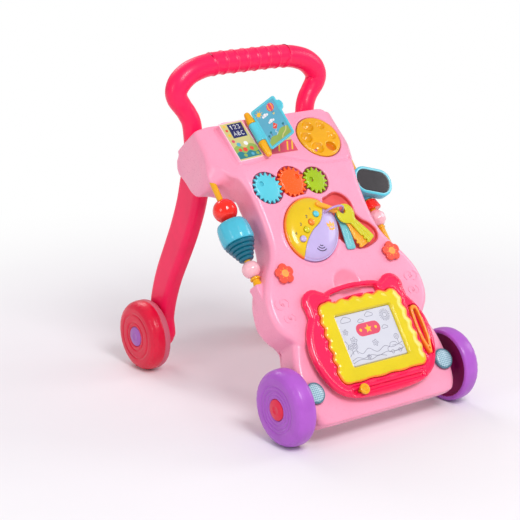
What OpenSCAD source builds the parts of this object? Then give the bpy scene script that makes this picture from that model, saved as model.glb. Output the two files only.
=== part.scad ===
// Baby walker with an activity panel: a moulded shell on four wheels, with a push handle
// at the back, two curved rear legs, and toys on its sloping face.
// Frame: +Z up, +X to the walker's left-hand side seen from the face, the face looks to -Y.
// The origin is on the floor, below the middle of the walker.

/* [Overall] */
// Distance between the front and the rear axle
wheelbase = 346; // [330:1:360]
// Wheel radius, front and rear
wheel_r = 50; // [46:0.5:52]
// Lean of the face back from vertical, in degrees
face_tilt = 35.7; // [34:0.1:37]
// Lean of the head platform back from vertical, in degrees
head_tilt = 48; // [47:0.1:49]
// Wall of the moulded shell
wall = 3; // [2.5:0.1:3.5]
// Height of the middle of the grip
grip_z = 442; // [436:1:450]

/* [Wheels] */
// Outer face of a front wheel from the middle plane
front_wheel_x = 153.5; // [150:0.5:158]
// Width of a front wheel
front_wheel_w = 27; // [24:0.5:27]
// Outer face of a rear wheel from the middle plane
rear_wheel_x = 142.5; // [140:0.5:148]
// Width of a rear wheel
rear_wheel_w = 29; // [25:0.5:29]
// Radius of the steel axles
axle_r = 3; // [2.5:0.1:3.5]
// Radius of a hub cap
cap_r = 14; // [12:0.5:16]

/* [Gears] */
// Teeth on the cyan and on the orange gear
big_teeth = 18; // [18:1:18]
// Teeth on the green gear
small_teeth = 15; // [15:1:15]
// Pitch diameter for each tooth
gear_module = 2.3; // [2.2:0.05:2.3]

/* [Toys] */
// Radius of the turning dial
dial_r = 33; // [30:0.5:33.5]
// Angle of the turning page above the platform
page_open = 58; // [45:1:75]
// Radius of a music button
button_r = 4.3; // [3.8:0.1:4.5]

/* [Hidden] */
$fn = 48;
fit = 0.08;                    // radial clearance of a running fit
gap = 0.35;                    // clearance between pieces that don't touch
front_axle_y = -wheelbase / 2;
rear_axle_y = wheelbase / 2;
face_foot = [0, front_axle_y - 74, 0];   // where the face plane meets the floor
body_depth = 46;               // depth of the body behind the face
block_step = 4;                // the lower block lies this far behind the hips
head_s = 385;                  // height along the face where the head platform starts

// ---------- curves ----------
function on_arc(c, r, a) = c + r * [cos(a), sin(a)];
function arc(c, r, a0, a1, n) = [for (i = [0 : n]) on_arc(c, r, a0 + (a1 - a0) * i / n)];
function oval(c, a, b, turn, n) = [for (i = [0 : n - 1]) let (t = 360 * i / n, p = [a * cos(t), b * sin(t)])
    c + [p[0] * cos(turn) - p[1] * sin(turn), p[0] * sin(turn) + p[1] * cos(turn)]];
function blend(p, q, r, s, t) = 0.5 * (2 * q + (r - p) * t + (2 * p - 5 * q + 4 * r - s) * t * t
    + (3 * q - p - 3 * r + s) * t * t * t);
function pick(pts, i) = pts[max(0, min(len(pts) - 1, i))];
// A smooth open curve through the points
function curve(pts, n = 4) = concat([for (i = [0 : len(pts) - 2], k = [0 : n - 1])
    blend(pick(pts, i - 1), pts[i], pts[i + 1], pick(pts, i + 2), k / n)], [pts[len(pts) - 1]]);
function reversed(pts) = [for (i = [len(pts) - 1 : -1 : 0]) pts[i]];
function mirrored(pts) = [for (p = reversed(pts)) [-p[0], p[1]]];
// Left-hand normal of an open or closed run of points
function side_of(pts, i, closed) = let (n = len(pts),
    a = closed ? pts[(i + n - 1) % n] : pick(pts, i - 1), b = closed ? pts[(i + 1) % n] : pick(pts, i + 1),
    d = (b - a) / norm(b - a)) [-d[1], d[0]];
// A closed outline that runs counter-clockwise, moved inwards by d
function inset(pts, d) = [for (i = [0 : len(pts) - 1]) pts[i] + d * side_of(pts, i, true)];

// ---------- frames ----------
// x across, y up along the face, z out of the face
module on_face(x = 0, s = 0, h = 0) translate(face_foot) rotate([90 - face_tilt, 0, 0])
    translate([x, s, h]) children();
// The head platform's own frame, y up along the platform from where it starts
module on_head(x = 0, v = 0, h = 0) on_face(0, head_s, 0) rotate([face_tilt - head_tilt, 0, 0])
    translate([x, v, h]) children();
// Along a bead rod: z runs up the rod
module on_rod(side, s) on_face(side * rod_x, rod_foot_s, rod_foot_h) rotate([-90 - rod_lean, 0, 0])
    translate([0, 0, s - rod_foot_s]) children();
module both_sides() {
    children();
    mirror([1, 0, 0]) children();
}

// ---------- shell ----------
// Half outline of the hips, waist and ears on the face, from the bottom up
hip_half = [[100, 40], [112, 48], [120, 64], [122.5, 84], [122.5, 104], [120, 124], [115, 142], [112, 152],
    [114, 160], [122, 170], [127.5, 184], [129, 202], [126, 220], [118, 238], [108, 254], [98, 269],
    [91.5, 284], [88.5, 300], [87.5, 330], [88.5, 355], [92, 374], [100, 388], [110, 400], [118, 414],
    [122, 430], [121, 446], [116, 460], [106, 471], [90, 474]];
shell_outline = let (half = curve(hip_half, 3)) concat(half, mirrored(half));
ear_bend_s = 395;              // above this the ears lean back from the face
// Side profile in face coordinates, as [s, h]
profile_front = [[40, -12], [46, 0], [ear_bend_s, 0], [474, -30]];
profile_head_back = [[474, -98], [467, -98], [462, -107], [452, -113], [443, -113.5], [399, -87],
    [384, -72], [368, -body_depth]];
profile_body_back = [[368, -body_depth], [215, -body_depth], [190, -50], [160, -body_depth],
    [66, -body_depth], [48, -38]];
block_top_s = 156;             // the step between the lower block and the hips
front_inner = [[46, -block_step - wall], [block_top_s + wall, -block_step - wall],
    [block_top_s + wall, -wall], [ear_bend_s - 1, -wall], [470, -33]];
head_back_inner = [[470, -94.5], [464, -94.5], [459, -104], [451, -109.5], [444.5, -110], [401, -84],
    [387, -69.5], [371, -43], [362, -70]];
body_back_open = [[54, -70]];
platform_outline = concat(arc([-78, 80], 10, 180, 90, 3), arc([82, 78], 12, 90, 0, 3),
    arc([80, 18], 16, 0, -90, 4), [[45, 2], [10, 12], [-30, 20]], arc([-78, 30], 12, -90, -180, 3));
platform_t = 22;               // the platform's block reaches this far into the head
shell_reach = 140;             // half of a width that clears the whole shell

// The part of a face outline that also lies inside a side profile
module shell_prism(pts, profile) intersection() {
    on_face(0, 0, -120) linear_extrude(122) polygon(pts);
    on_face() rotate([0, 90, 0]) rotate([0, 0, 90]) translate([0, 0, -shell_reach])
        linear_extrude(2 * shell_reach) polygon(profile);
}
module shell_outer() {
    shell_prism(shell_outline, concat(profile_front, profile_head_back, profile_body_back));
    on_head(0, 0, -platform_t) linear_extrude(platform_t) polygon(platform_outline);
}
module shell_cavity() shell_prism(inset(shell_outline, wall),
    concat(front_inner, head_back_inner, body_back_open));

gear_h = -7;                   // floor of the gear recess
gear_t = 5.6;
big_pitch = big_teeth * gear_module / 2;
small_pitch = small_teeth * gear_module / 2;
tooth_out = 1.9;
tooth_in = 2.5;
orange_at = [-20, 367.4];
cyan_bearing = 183.6;          // direction from the orange gear to the cyan one
green_bearing = -4.8;
cyan_at = on_arc(orange_at, 2 * big_pitch, cyan_bearing);
green_at = on_arc(orange_at, big_pitch + small_pitch, green_bearing);
gear_post_r = 4;
big_well = big_pitch + tooth_out + 0.9;
small_well = small_pitch + tooth_out + 0.9;
tray_wall = 1.2;
tray_floor = 2;

dial_at = [57, 43.5];
dial_well = 6;
dial_post_r = 5;
// The dial's well leaves a post in its middle
module dial_ring() difference() {
    cylinder(r = dial_r + 0.8, h = 30);
    translate([0, 0, -1]) cylinder(r = dial_post_r, h = dial_well - 1);
}

phone_at = [-21, 297];
phone_a = 47;
phone_b = 40.5;
phone_turn = 52;
button_at = [[-12, 314], [-24, 304], [-35.5, 295], [-46, 284]];
phone_top = 9;

flower_x = 90;
flower_s = 245;
flower_r = 14;
flower_stem = 6;

light_at = [108.5, 86.6];
light_r = 14;

rod_x = 116;                   // the bead rods, from the hips' shoulders up to the ears
rod_r = 4.2;
rod_foot_s = 236;
rod_foot_h = -23;
rod_lean = 5.2;                // lean back from the face
rod_top_s = 406;
rod_seat = 8;                  // depth of the lower seat
socket_r = rod_r + 4.3;
ear_socket_s = 391;

neck_x = 91;
neck_y = 89;
neck_r = 14.5;
neck_low = 322;
neck_high = 362;

// Centre line of a leg in the side view, from the head down to the rear axle, as [y, z]
leg_line = curve([[74, 312], [83, 285], [94, 250], [111, 212], [131, 175], [150, 140], [164, 105],
    [171, 75], [rear_axle_y, wheel_r]], 3);
leg_x = 86;
leg_w = 24;
leg_boss_r = 22;
function leg_half_width(i) = 22.5 - 3.5 * i / (len(leg_line) - 1);
// One edge of a leg, this far from its centre line
function leg_edge(i, extra, sign) =
    leg_line[i] + sign * (leg_half_width(i) + extra) * side_of(leg_line, i, false);
function leg_outline(extra) = concat([for (i = [0 : len(leg_line) - 1]) leg_edge(i, extra, 1)],
    [for (i = [len(leg_line) - 1 : -1 : 0]) leg_edge(i, extra, -1)]);
module leg_bar(extra) translate([leg_x - extra, 0, 0]) rotate([90, 0, 90]) linear_extrude(leg_w + 2 * extra)
    polygon(leg_outline(extra));

screw_spots = [[70, 60], [-70, 60], [104, 205], [-104, 205], [70, 330], [-70, 330]];
screw_r = 1.6;

key_centre = [36, 317];
key_well = 25;
key_low = [61, 283];
key_low_r = 21;
key_floor = -7;
key_wall = 1.2;
module key_well_shape(extra) {
    translate(key_centre) circle(key_well + extra);
    translate(key_low) circle(key_low_r + extra);
    turn = atan2(key_low[1] - key_centre[1], key_low[0] - key_centre[0]);
    translate(key_centre) rotate(turn) translate([0, -key_low_r + 1 - extra])
        square([norm(key_low - key_centre), 2 * (key_low_r - 1 + extra)]);
}
module gear_wells(extra, depth) {
    for (at = [cyan_at, orange_at]) translate([at[0], at[1], -depth])
        cylinder(r = big_well + extra, h = depth + 1);
    translate([green_at[0], green_at[1], -depth]) cylinder(r = small_well + extra, h = depth + 1);
}

module front_shell() color([1, 0.68, 0.79]) difference() {
    union() {
        difference() {
            shell_outer();
            shell_cavity();
        }
        // round wells for the dial and the scoop above the board
        on_head(dial_at[0], dial_at[1], -dial_well - 2.5) cylinder(r = dial_r + 3, h = dial_well + 2.5);
        on_face(3, 215, -8) cylinder(r = 23, h = 6);
        // sockets that hold the bead rods
        for (side = [-1, 1]) {
            on_rod(side, rod_foot_s - rod_seat - 4) cylinder(r = socket_r, h = rod_seat + 14);
            on_rod(side, ear_socket_s) cylinder(r = socket_r, h = 34);
        }
    }
    on_head(dial_at[0], dial_at[1], -dial_well) dial_ring();
    // scoop for the fingers that lift the board
    on_face(3, 215, 17) sphere(r = 27, $fn = 64);
    // lower block set back from the hips
    on_face(-140, 20, -block_step) cube([280, block_top_s - 20, 20]);
    on_face() gear_wells(0, 20);
    on_face(0, 0, gear_h - tray_floor - gap) tray_block(tray_wall + gap, -wall - gear_h + tray_floor + gap);
    on_face(0, 0, -20) linear_extrude(30)
        polygon(oval(phone_at, phone_a + gap, phone_b + gap, phone_turn, 64));
    on_face(0, 0, -20) linear_extrude(30) key_well_shape(key_wall + gap);
    for (side = [-1, 1]) {
        on_face(side * flower_x, flower_s, -20) cylinder(r = flower_stem + 0.3, h = 30);
        on_face(side * light_at[0], light_at[1], -block_step - wall - 5) cylinder(r = light_r - 4, h = 20);
        on_rod(side, rod_foot_s - rod_seat) cylinder(r = rod_r, h = rod_top_s - rod_foot_s + rod_seat);
    }
    // sockets for the handle, the legs and the front axle
    for (side = [-1, 1]) translate([side * neck_x, neck_y, neck_low - gap])
        cylinder(r = neck_r + 0.2, h = 80);
    both_sides() leg_bar(0.2);
    translate([-shell_reach, front_axle_y, wheel_r]) rotate([0, 90, 0])
        cylinder(r = axle_r + 0.02, h = 2 * shell_reach);
    // clearance for the spindle's feet
    for (v = book_feet) on_head(book_x, v, -20) cylinder(r = book_foot_r + 0.02, h = 30);
}

cover_t = 2.5;
battery_s = 150;
battery_w = 66;
battery_l = 62;
module back_cover() color([0.98, 0.62, 0.74]) difference() {
    intersection() {
        on_face(0, 0, -body_depth) linear_extrude(cover_t) polygon(inset(shell_outline, wall + gap));
        on_face(-140, 52, -80) cube([280, 306, 80]);
    }
    on_face(-battery_w / 2, battery_s, -80) cube([battery_w, battery_l, 80]);
    for (p = screw_spots) on_face(p[0], p[1], -80) cylinder(r = screw_r, h = 80);
    on_face(-5, 244, -80) cube([10, 16, 80]);
    // speaker slots
    for (i = [-3 : 3]) on_face(-22, 300 + 6 * i, -80) cube([44, 2.4, 80]);
}

module shell_screws() color([0.75, 0.76, 0.78]) for (p = screw_spots)
    on_face(p[0], p[1], -body_depth - 1.4) {
        cylinder(r = 3.2, h = 1.4);
        cylinder(r = screw_r, h = 16);
    }

// ---------- handle ----------
grip_y = 95;
grip_r = 15.5;
corner_run = curve([[60, grip_y, grip_z - 0.5], [78, grip_y, grip_z - 3.5], [96, grip_y, grip_z - 10],
    [109, grip_y, grip_z - 20], [115.5, grip_y, grip_z - 31], [113, grip_y, grip_z - 42],
    [104, 94.5, grip_z - 53], [96, 92.5, grip_z - 64], [neck_x, neck_y, neck_high]], 3);
// The corners swell to 18 and thin down to the necks
function corner_r(t) = t < 0.5 ? 15.5 + 2.5 * sin(180 * t) : 18 - 3.5 * (2 * t - 1);
ring_sides = 16;
function ring(pts, i) = let (d = pick(pts, i + 1) - pick(pts, i - 1), t = d / norm(d), u = [0, 1, 0],
    a = (u - (u * t) * t) / norm(u - (u * t) * t), b = cross(t, a), r = corner_r(i / (len(pts) - 1)))
    [for (k = [0 : ring_sides - 1]) let (w = 360 * k / ring_sides) pts[i] + r * (cos(w) * a + sin(w) * b)];
function ring_band(i) = [for (k = [0 : ring_sides - 1]) let (a = i * ring_sides, n = (k + 1) % ring_sides)
    [a + k, a + ring_sides + k, a + ring_sides + n, a + n]];
module tube(pts) polyhedron(
    points = [for (i = [0 : len(pts) - 1]) each ring(pts, i)],
    faces = concat([[for (k = [0 : ring_sides - 1]) k]], [for (i = [0 : len(pts) - 2]) each ring_band(i)],
        [[for (k = [ring_sides - 1 : -1 : 0]) (len(pts) - 1) * ring_sides + k]]));
grip_half = 60.5;
rib_pitch = 17.6;
module handle() color([1, 0.27, 0.5]) {
    translate([-grip_half, grip_y, grip_z]) rotate([0, 90, 0]) cylinder(r = grip_r, h = 2 * grip_half);
    for (i = [-3 : 3]) translate([rib_pitch * i, grip_y, grip_z]) rotate([0, 90, 0])
        rotate_extrude() translate([grip_r - 1.9, 0]) circle(r = 2.9);
    both_sides() tube(corner_run);
    for (side = [-1, 1]) translate([side * neck_x, neck_y, neck_low])
        cylinder(r = neck_r, h = neck_high - neck_low + 0.5);
}

module leg() color([1, 0.25, 0.45]) difference() {
    union() {
        leg_bar(0);
        translate([leg_x, rear_axle_y, wheel_r]) rotate([0, 90, 0]) cylinder(r = leg_boss_r, h = leg_w);
    }
    translate([leg_x - 1, rear_axle_y, wheel_r]) rotate([0, 90, 0]) cylinder(r = axle_r, h = leg_w + 2);
}
module leg_right() leg();
module leg_left() mirror([1, 0, 0]) leg();

// ---------- wheels ----------
axle_end = 3.5;                // the axles stop this far inside the wheels' outer faces
module front_axle() color([0.75, 0.76, 0.78]) translate([-front_wheel_x + axle_end, front_axle_y, wheel_r])
    rotate([0, 90, 0]) cylinder(r = axle_r, h = 2 * (front_wheel_x - axle_end));
module rear_axles() color([0.75, 0.76, 0.78]) both_sides() translate([leg_x - 2, rear_axle_y, wheel_r])
    rotate([0, 90, 0]) {
        cylinder(r = 6, h = 2);
        cylinder(r = axle_r, h = rear_wheel_x - axle_end - leg_x + 2);
    }

tread_round = 9;
// A wheel in its own frame: z runs from the inner face to the outer face
module tyre(w) difference() {
    rotate_extrude($fn = 96) {
        translate([8, 0]) square([wheel_r - tread_round - 8, w]);
        translate([8, 3]) square([wheel_r - 8, w - 3 - tread_round]);
        intersection() {
            translate([wheel_r - tread_round, w - tread_round]) circle(tread_round);
            translate([wheel_r - tread_round, 0]) square([tread_round, w]);
        }
        translate([axle_r + fit, 4]) square([6, w - 8]);
    }
    // hollow of the inner side, and the seat of the hub cap
    translate([0, 0, -1]) rotate_extrude($fn = 96) translate([12, 0]) square([wheel_r - 17, 4]);
    translate([0, 0, w - 3]) cylinder(r = cap_r + 0.1, h = 4);
    // grooves on the outer face
    for (r = [22, 29, 36]) translate([0, 0, w - 0.8]) rotate_extrude($fn = 96) translate([r, 0])
        square([1.2, 2]);
}
module hub_cap(w) {
    translate([0, 0, w - 3]) cylinder(r = cap_r, h = 2.4);
    translate([0, 0, w - 0.6]) dome(cap_r - 0.4, 2);
}
// A low spherical cap of radius r and the given rise
module dome(r, rise) {
    ball_r = (r * r + rise * rise) / (2 * rise);
    rotate_extrude($fn = 96) intersection() {
        translate([0, rise - ball_r]) circle(r = ball_r, $fn = 360);
        square([r, rise + 1]);
    }
}
module at_front_wheel(side) translate([side * (front_wheel_x - front_wheel_w), front_axle_y, wheel_r])
    rotate([0, 90 * side, 0]) children();
module at_rear_wheel(side) translate([side * (rear_wheel_x - rear_wheel_w), rear_axle_y, wheel_r])
    rotate([0, 90 * side, 0]) children();
module tyre_front_left() color([0.69, 0.4, 0.78]) at_front_wheel(-1) tyre(front_wheel_w);
module tyre_front_right() color([0.69, 0.4, 0.78]) at_front_wheel(1) tyre(front_wheel_w);
module tyre_rear_left() color([0.88, 0.14, 0.3]) at_rear_wheel(-1) tyre(rear_wheel_w);
module tyre_rear_right() color([0.88, 0.14, 0.3]) at_rear_wheel(1) tyre(rear_wheel_w);
module cap_front_left() color([0.9, 0.16, 0.32]) at_front_wheel(-1) hub_cap(front_wheel_w);
module cap_front_right() color([0.9, 0.16, 0.32]) at_front_wheel(1) hub_cap(front_wheel_w);
module cap_rear_left() color([0.65, 0.38, 0.72]) at_rear_wheel(-1) hub_cap(rear_wheel_w);
module cap_rear_right() color([0.65, 0.38, 0.72]) at_rear_wheel(1) hub_cap(rear_wheel_w);

// ---------- headlights ----------
module headlight_rims() color([0.16, 0.42, 0.5]) for (side = [-1, 1])
    on_face(side * light_at[0], light_at[1], -block_step) difference() {
        cylinder(r = light_r, h = 4.4);
        translate([0, 0, 1.4]) cylinder(r = light_r - 1.6, h = 5);
        translate([0, 0, -1]) cylinder(r = light_r - 6, h = 5);
    }
module headlight_lenses() color([0.65, 0.77, 0.84]) for (side = [-1, 1])
    on_face(side * light_at[0], light_at[1], -block_step + 1.4) {
        cylinder(r = light_r - 1.6, h = 2.6);
        translate([0, 0, 2.6]) dome(light_r - 2, 2.4);
    }

// ---------- gears ----------
function gear_points(teeth, pitch_r) = let (step = 360 / teeth)
    [for (i = [0 : teeth - 1]) each [
        on_arc([0, 0], pitch_r - tooth_in, step * (i - 0.33)),
        on_arc([0, 0], pitch_r + tooth_out, step * (i - 0.09)),
        on_arc([0, 0], pitch_r + tooth_out, step * (i + 0.09)),
        on_arc([0, 0], pitch_r - tooth_in, step * (i + 0.33))]];
module gear(teeth, pitch_r, dimple) difference() {
    linear_extrude(gear_t) polygon(gear_points(teeth, pitch_r));
    translate([0, 0, -1]) cylinder(r = gear_post_r + fit, h = gear_t - 1.4);
    translate([dimple * 0.45 * pitch_r, 0.3 * pitch_r, gear_t + 1.6]) sphere(r = 3.4);
}
module gear_orange() color([1, 0.45, 0.17]) on_face(orange_at[0], orange_at[1], gear_h + 0.4)
    gear(big_teeth, big_pitch, 1);
// A gear is turned so that its gap faces the orange gear's tooth
module gear_cyan() color([0.44, 0.82, 0.89]) on_face(cyan_at[0], cyan_at[1], gear_h + 0.4)
    rotate(gap_phase(big_teeth, cyan_bearing)) gear(big_teeth, big_pitch, -1);
module gear_green() color([0.62, 0.73, 0.05]) on_face(green_at[0], green_at[1], gear_h + 0.4)
    rotate(gap_phase(small_teeth, green_bearing)) gear(small_teeth, small_pitch, -1);
// The orange gear has a tooth at angle 0; find the turn that puts a gap where its tooth points
function gap_phase(teeth, bearing) = bearing + 180 + 180 / teeth + (bearing * big_teeth / teeth);
module gear_tray() color([0.72, 0.14, 0.3]) on_face() {
    difference() {
        translate([0, 0, gear_h - tray_floor]) tray_block(tray_wall, -wall - gear_h + tray_floor);
        gear_wells(0, -gear_h);
    }
    for (at = [cyan_at, orange_at, green_at]) translate([at[0], at[1], gear_h - 0.1])
        cylinder(r = gear_post_r, h = 3.6);
}
module tray_block(extra, h) {
    for (at = [cyan_at, orange_at]) translate(at) cylinder(r = big_well + extra, h = h);
    translate(green_at) cylinder(r = small_well + extra, h = h);
}

// ---------- dial ----------
cup_ring = 21;
cup_r = 7.6;
module dial() color([0.95, 0.73, 0.08]) on_head(dial_at[0], dial_at[1], -dial_well + 0.4) difference() {
    union() {
        cylinder(r = dial_r, h = 6.5);
        translate([0, 0, 6.5]) cylinder(r = dial_r - 1.2, h = 0.9);
    }
    // five shallow cups and one deep hole
    for (i = [0 : 4]) rotate(60 * i - 4) translate([cup_ring, 0, 9.2]) sphere(r = cup_r + 1);
    rotate(-60) translate([cup_ring, 0, 2.2]) cylinder(r = cup_r, h = 8);
    translate([0, 0, -1]) cylinder(r = dial_post_r + fit, h = 5);
}

// ---------- book ----------
book_x = -42;
book_low = 21;
book_high = 93;
book_h = 6.6;
book_feet = [27, 87];
book_foot_r = 2;
knuckle_low = 45;
knuckle_high = 74;
knuckle_r = 5.8;
page_w = 46;
page_t = 2.6;
page_low = 26;
page_high = 90;
spindle_tip_r = 3.4;
spindle_pin_r = 2.5;           // the pin inside the page's knuckle
module book_spindle() color([0.96, 0.68, 0.05]) {
    on_head(book_x, 0, book_h) rotate([-90, 0, 0]) {
        translate([0, 0, book_low])
            cylinder(r1 = spindle_tip_r, r2 = knuckle_r, h = knuckle_low - book_low - gap);
        translate([0, 0, book_low]) cylinder(r = spindle_pin_r, h = book_high - book_low);
        translate([0, 0, knuckle_high + gap])
            cylinder(r1 = knuckle_r, r2 = spindle_tip_r, h = book_high - knuckle_high - gap);
    }
    for (v = book_feet) on_head(book_x, v, -4) cylinder(r = book_foot_r, h = 8);
}
module book_page() color([0.42, 0.8, 0.86]) on_head(book_x, 0, book_h) rotate([0, -page_open, 0])
difference() {
    union() {
        rotate([-90, 0, 0]) translate([0, 0, knuckle_low])
            cylinder(r = knuckle_r, h = knuckle_high - knuckle_low);
        translate([3, knuckle_low + 1, -page_t / 2]) cube([6, knuckle_high - knuckle_low - 2, page_t]);
        translate([0, 0, -page_t / 2]) linear_extrude(page_t) {
            polygon(concat(arc([page_w - 3, page_low + 4], 4, -90, 0, 4),
                arc([page_w - 3, page_high - 4], 4, 0, 90, 4), [[7.5, page_high], [7.5, page_low]]));
            translate([page_w, page_high - 14]) circle(r = 6);
        }
    }
    rotate([-90, 0, 0]) translate([0, 0, book_low])
        cylinder(r = spindle_pin_r + fit, h = book_high - book_low);
}

// ---------- music unit ----------
s_curve = curve([[14, 345], [4, 322], [-8, 304], [-26, 293], [-40, 280], [-48, 266], [-53, 245]], 4);
module phone_layer(shrink, h0, h1) translate([0, 0, h0]) linear_extrude(h1 - h0)
    polygon(oval(phone_at, phone_a - shrink, phone_b - shrink, phone_turn, 64));
module phone_dome() {
    phone_layer(1.8, 1, 5);
    phone_layer(4, 4.9, 7.4);
    phone_layer(8, 7.3, phone_top);
}
module phone_half(left) intersection() {
    phone_dome();
    linear_extrude(30) polygon(left ? concat(s_curve, [[-90, 245], [-90, 345]])
        : concat([for (p = s_curve) p + [0.25, 0]], [[60, 245], [60, 345]]));
}
module button_bores(r) for (p = button_at) translate([p[0], p[1], -20]) cylinder(r = r, h = 60);
// The lug is a bar with round ends above the dome, on a post
lug_from = [-3, 327];
lug_to = [20, 314];
lug_l = norm(lug_to - lug_from);
lug_turn = atan2(lug_to[1] - lug_from[1], lug_to[0] - lug_from[0]);
lug_r = 3.4;
lug_t = 3.6;
lug_post_at = [6, 322];
lug_post_r = 3;
module phone_yellow() color([0.95, 0.8, 0.25]) on_face() difference() {
    phone_half(true);
    button_bores(button_r + 0.15);
    lug_slot();
}
module phone_lilac() color([0.76, 0.68, 0.95]) on_face() difference() {
    phone_half(false);
    lug_slot();
    ring_hole();
}
module lug_slot() translate([lug_post_at[0], lug_post_at[1], -1]) cylinder(r = lug_post_r + 0.2, h = 20);
module ring_hole() translate([ring_at[0] - ring_r, ring_at[1], -1]) cylinder(r = 2.6, h = 30);
module phone_base() color([0.96, 0.5, 0.16]) on_face() {
    difference() {
        union() {
            phone_layer(0, -8, 1);
            phone_layer(0, 0.9, 3);
        }
        phone_layer(1.6, 1, 10);
        phone_layer(4, -5.5, 5);
        button_bores(button_r + 0.3);
    }
    translate([lug_post_at[0], lug_post_at[1], -6]) cylinder(r = lug_post_r, h = 18);
    translate([lug_from[0], lug_from[1], phone_top + 0.4]) rotate(lug_turn) {
        translate([0, -lug_r, 0]) cube([lug_l, 2 * lug_r, lug_t]);
        cylinder(r = lug_r, h = lug_t);
        translate([lug_l, 0, 0]) cylinder(r = lug_r, h = lug_t);
    }
}
module music_button(i) on_face(button_at[i][0], button_at[i][1], 0) {
    cylinder(r = button_r, h = 12.4);
    translate([0, 0, -2.2]) cylinder(r = button_r - 0.6, h = 3);
}
module music_button_1() color([0.3, 0.78, 0.8]) music_button(0);
module music_button_2() color([1, 0.65, 0.1]) music_button(1);
module music_button_3() color([0.82, 0.75, 0.2]) music_button(2);
module music_button_4() color([0.76, 0.68, 0.95]) music_button(3);

module circuit_board() color([0.1, 0.5, 0.3]) on_face() difference() {
    translate([-58, 262, -13]) cube([74, 68, 1.6]);
    translate([-20, 290, -20]) cylinder(r = 14, h = 20);
}
module speaker() color([0.2, 0.2, 0.22]) on_face(-20, 290, -26) {
    cylinder(r = 19, h = 4);
    translate([0, 0, 3.9]) cylinder(r1 = 19, r2 = 14, h = 4);
    translate([0, 0, -7.9]) cylinder(r = 11, h = 8);
}

box_wall = 1.8;
// An open box with a flange that lies on the back cover
module battery_box() color([0.96, 0.58, 0.7]) on_face(-battery_w / 2, battery_s, -body_depth + cover_t)
    difference() {
        union() {
            translate([gap, gap, 0]) cube([battery_w - 2 * gap, battery_l - 2 * gap, 22]);
            translate([-4, -4, 0]) cube([battery_w + 8, battery_l + 8, 1.6]);
        }
        translate([gap + box_wall, gap + box_wall, -1])
            cube([battery_w - 2 * (gap + box_wall), battery_l - 2 * (gap + box_wall), 21]);
    }
module battery_door() color([0.98, 0.62, 0.74])
on_face(-battery_w / 2 + gap, battery_s + gap, -body_depth) {
    cube([battery_w - 2 * gap, battery_l - 2 * gap, cover_t - 0.2]);
    for (i = [1 : 5]) translate([12, 8 * i + 4, -0.8]) cube([battery_w - 2 * gap - 24, 1.6, 0.9]);
}
module batteries() color([0.25, 0.3, 0.36]) for (i = [0 : 2])
    on_face(-25, battery_s + 13 + 17 * i, -body_depth + 2.6 + 8.2) rotate([0, 90, 0]) {
        cylinder(r = 7, h = 48);
        translate([0, 0, 47.9]) cylinder(r = 2.6, h = 2);
    }
switch_s = 248.2;              // at the low end of its slot
module power_switch() color([0.2, 0.2, 0.24]) on_face(0, switch_s, -body_depth - 2) {
    translate([-4, -3.5, 0]) cube([8, 7, 6]);
    translate([-7, -5.5, 2 + cover_t + gap]) cube([14, 11, 1.2]);
}

// ---------- keys ----------
ring_at = [18.5, 313];
ring_r = 16;
ring_h = 5;
ring_wire = 1.5;
ring_from = -35;               // the ring's open part faces down, inside the unit
ring_to = 195;
hole_at = [33, 313];
key_hole_r = 5;
key_t = 2.6;
key_pitch = key_t + gap;       // the three keys lie on one another
key_low_h = 0.5;
module key_ring() color([0.72, 0.55, 0.8]) on_face(ring_at[0], ring_at[1], ring_h) rotate([80, 0, 0])
    rotate(ring_from) rotate_extrude(angle = ring_to - ring_from, $fn = 64) translate([ring_r, 0])
        circle(r = ring_wire, $fn = 24);
module key_tray() color([0.87, 0.24, 0.24]) on_face() difference() {
    translate([0, 0, key_floor - key_wall]) linear_extrude(-key_floor + key_wall) key_well_shape(key_wall);
    translate([0, 0, key_floor]) linear_extrude(20) key_well_shape(0);
    translate([0, 0, -20]) linear_extrude(40)
        polygon(oval(phone_at, phone_a + 2 * gap, phone_b + 2 * gap, phone_turn, 64));
}
// A key in its own frame: the hole at the origin and the blade along -y
module key_shape(bow_r, blade_l, blade_w, bits) difference() {
    union() {
        translate([0, -6]) circle(r = bow_r);
        translate([-blade_w / 2, -blade_l]) square([blade_w, blade_l - 6]);
        for (i = [0 : bits - 1]) translate([blade_w / 2 - 1, -blade_l + 3 + 7 * i]) square([4, 4]);
    }
    circle(r = key_hole_r);
}
module key(turn, h, bow_r, blade_l, blade_w, bits) on_face(hole_at[0], hole_at[1], h) rotate(turn)
    linear_extrude(key_t) key_shape(bow_r, blade_l, blade_w, bits);
module key_cyan() color([0.42, 0.75, 0.78]) key(-5, key_low_h, 8.5, 52, 8, 0);
module key_orange() color([1, 0.65, 0.18]) key(20, key_low_h + key_pitch, 8.5, 54, 9, 2);
module key_olive() color([0.85, 0.82, 0.22]) key(31, key_low_h + 2 * key_pitch, 14, 56, 11, 2);

// ---------- flowers ----------
module flower() {
    petal_r = flower_r * 0.44;
    linear_extrude(2.6) {
        for (i = [0 : 4]) rotate(72 * i + 90) translate([flower_r - petal_r, 0]) circle(petal_r);
        circle(flower_r * 0.6);
    }
    translate([0, 0, 1]) cylinder(r = flower_r * 0.36, h = 2.5);
    translate([0, 0, -8.4]) cylinder(r = flower_stem, h = 9);
}
module flower_left() color([0.94, 0.37, 0.33]) on_face(-flower_x, flower_s, 2.4) flower();
module flower_right() color([0.94, 0.37, 0.33]) on_face(flower_x, flower_s, 2.4) flower();

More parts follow.
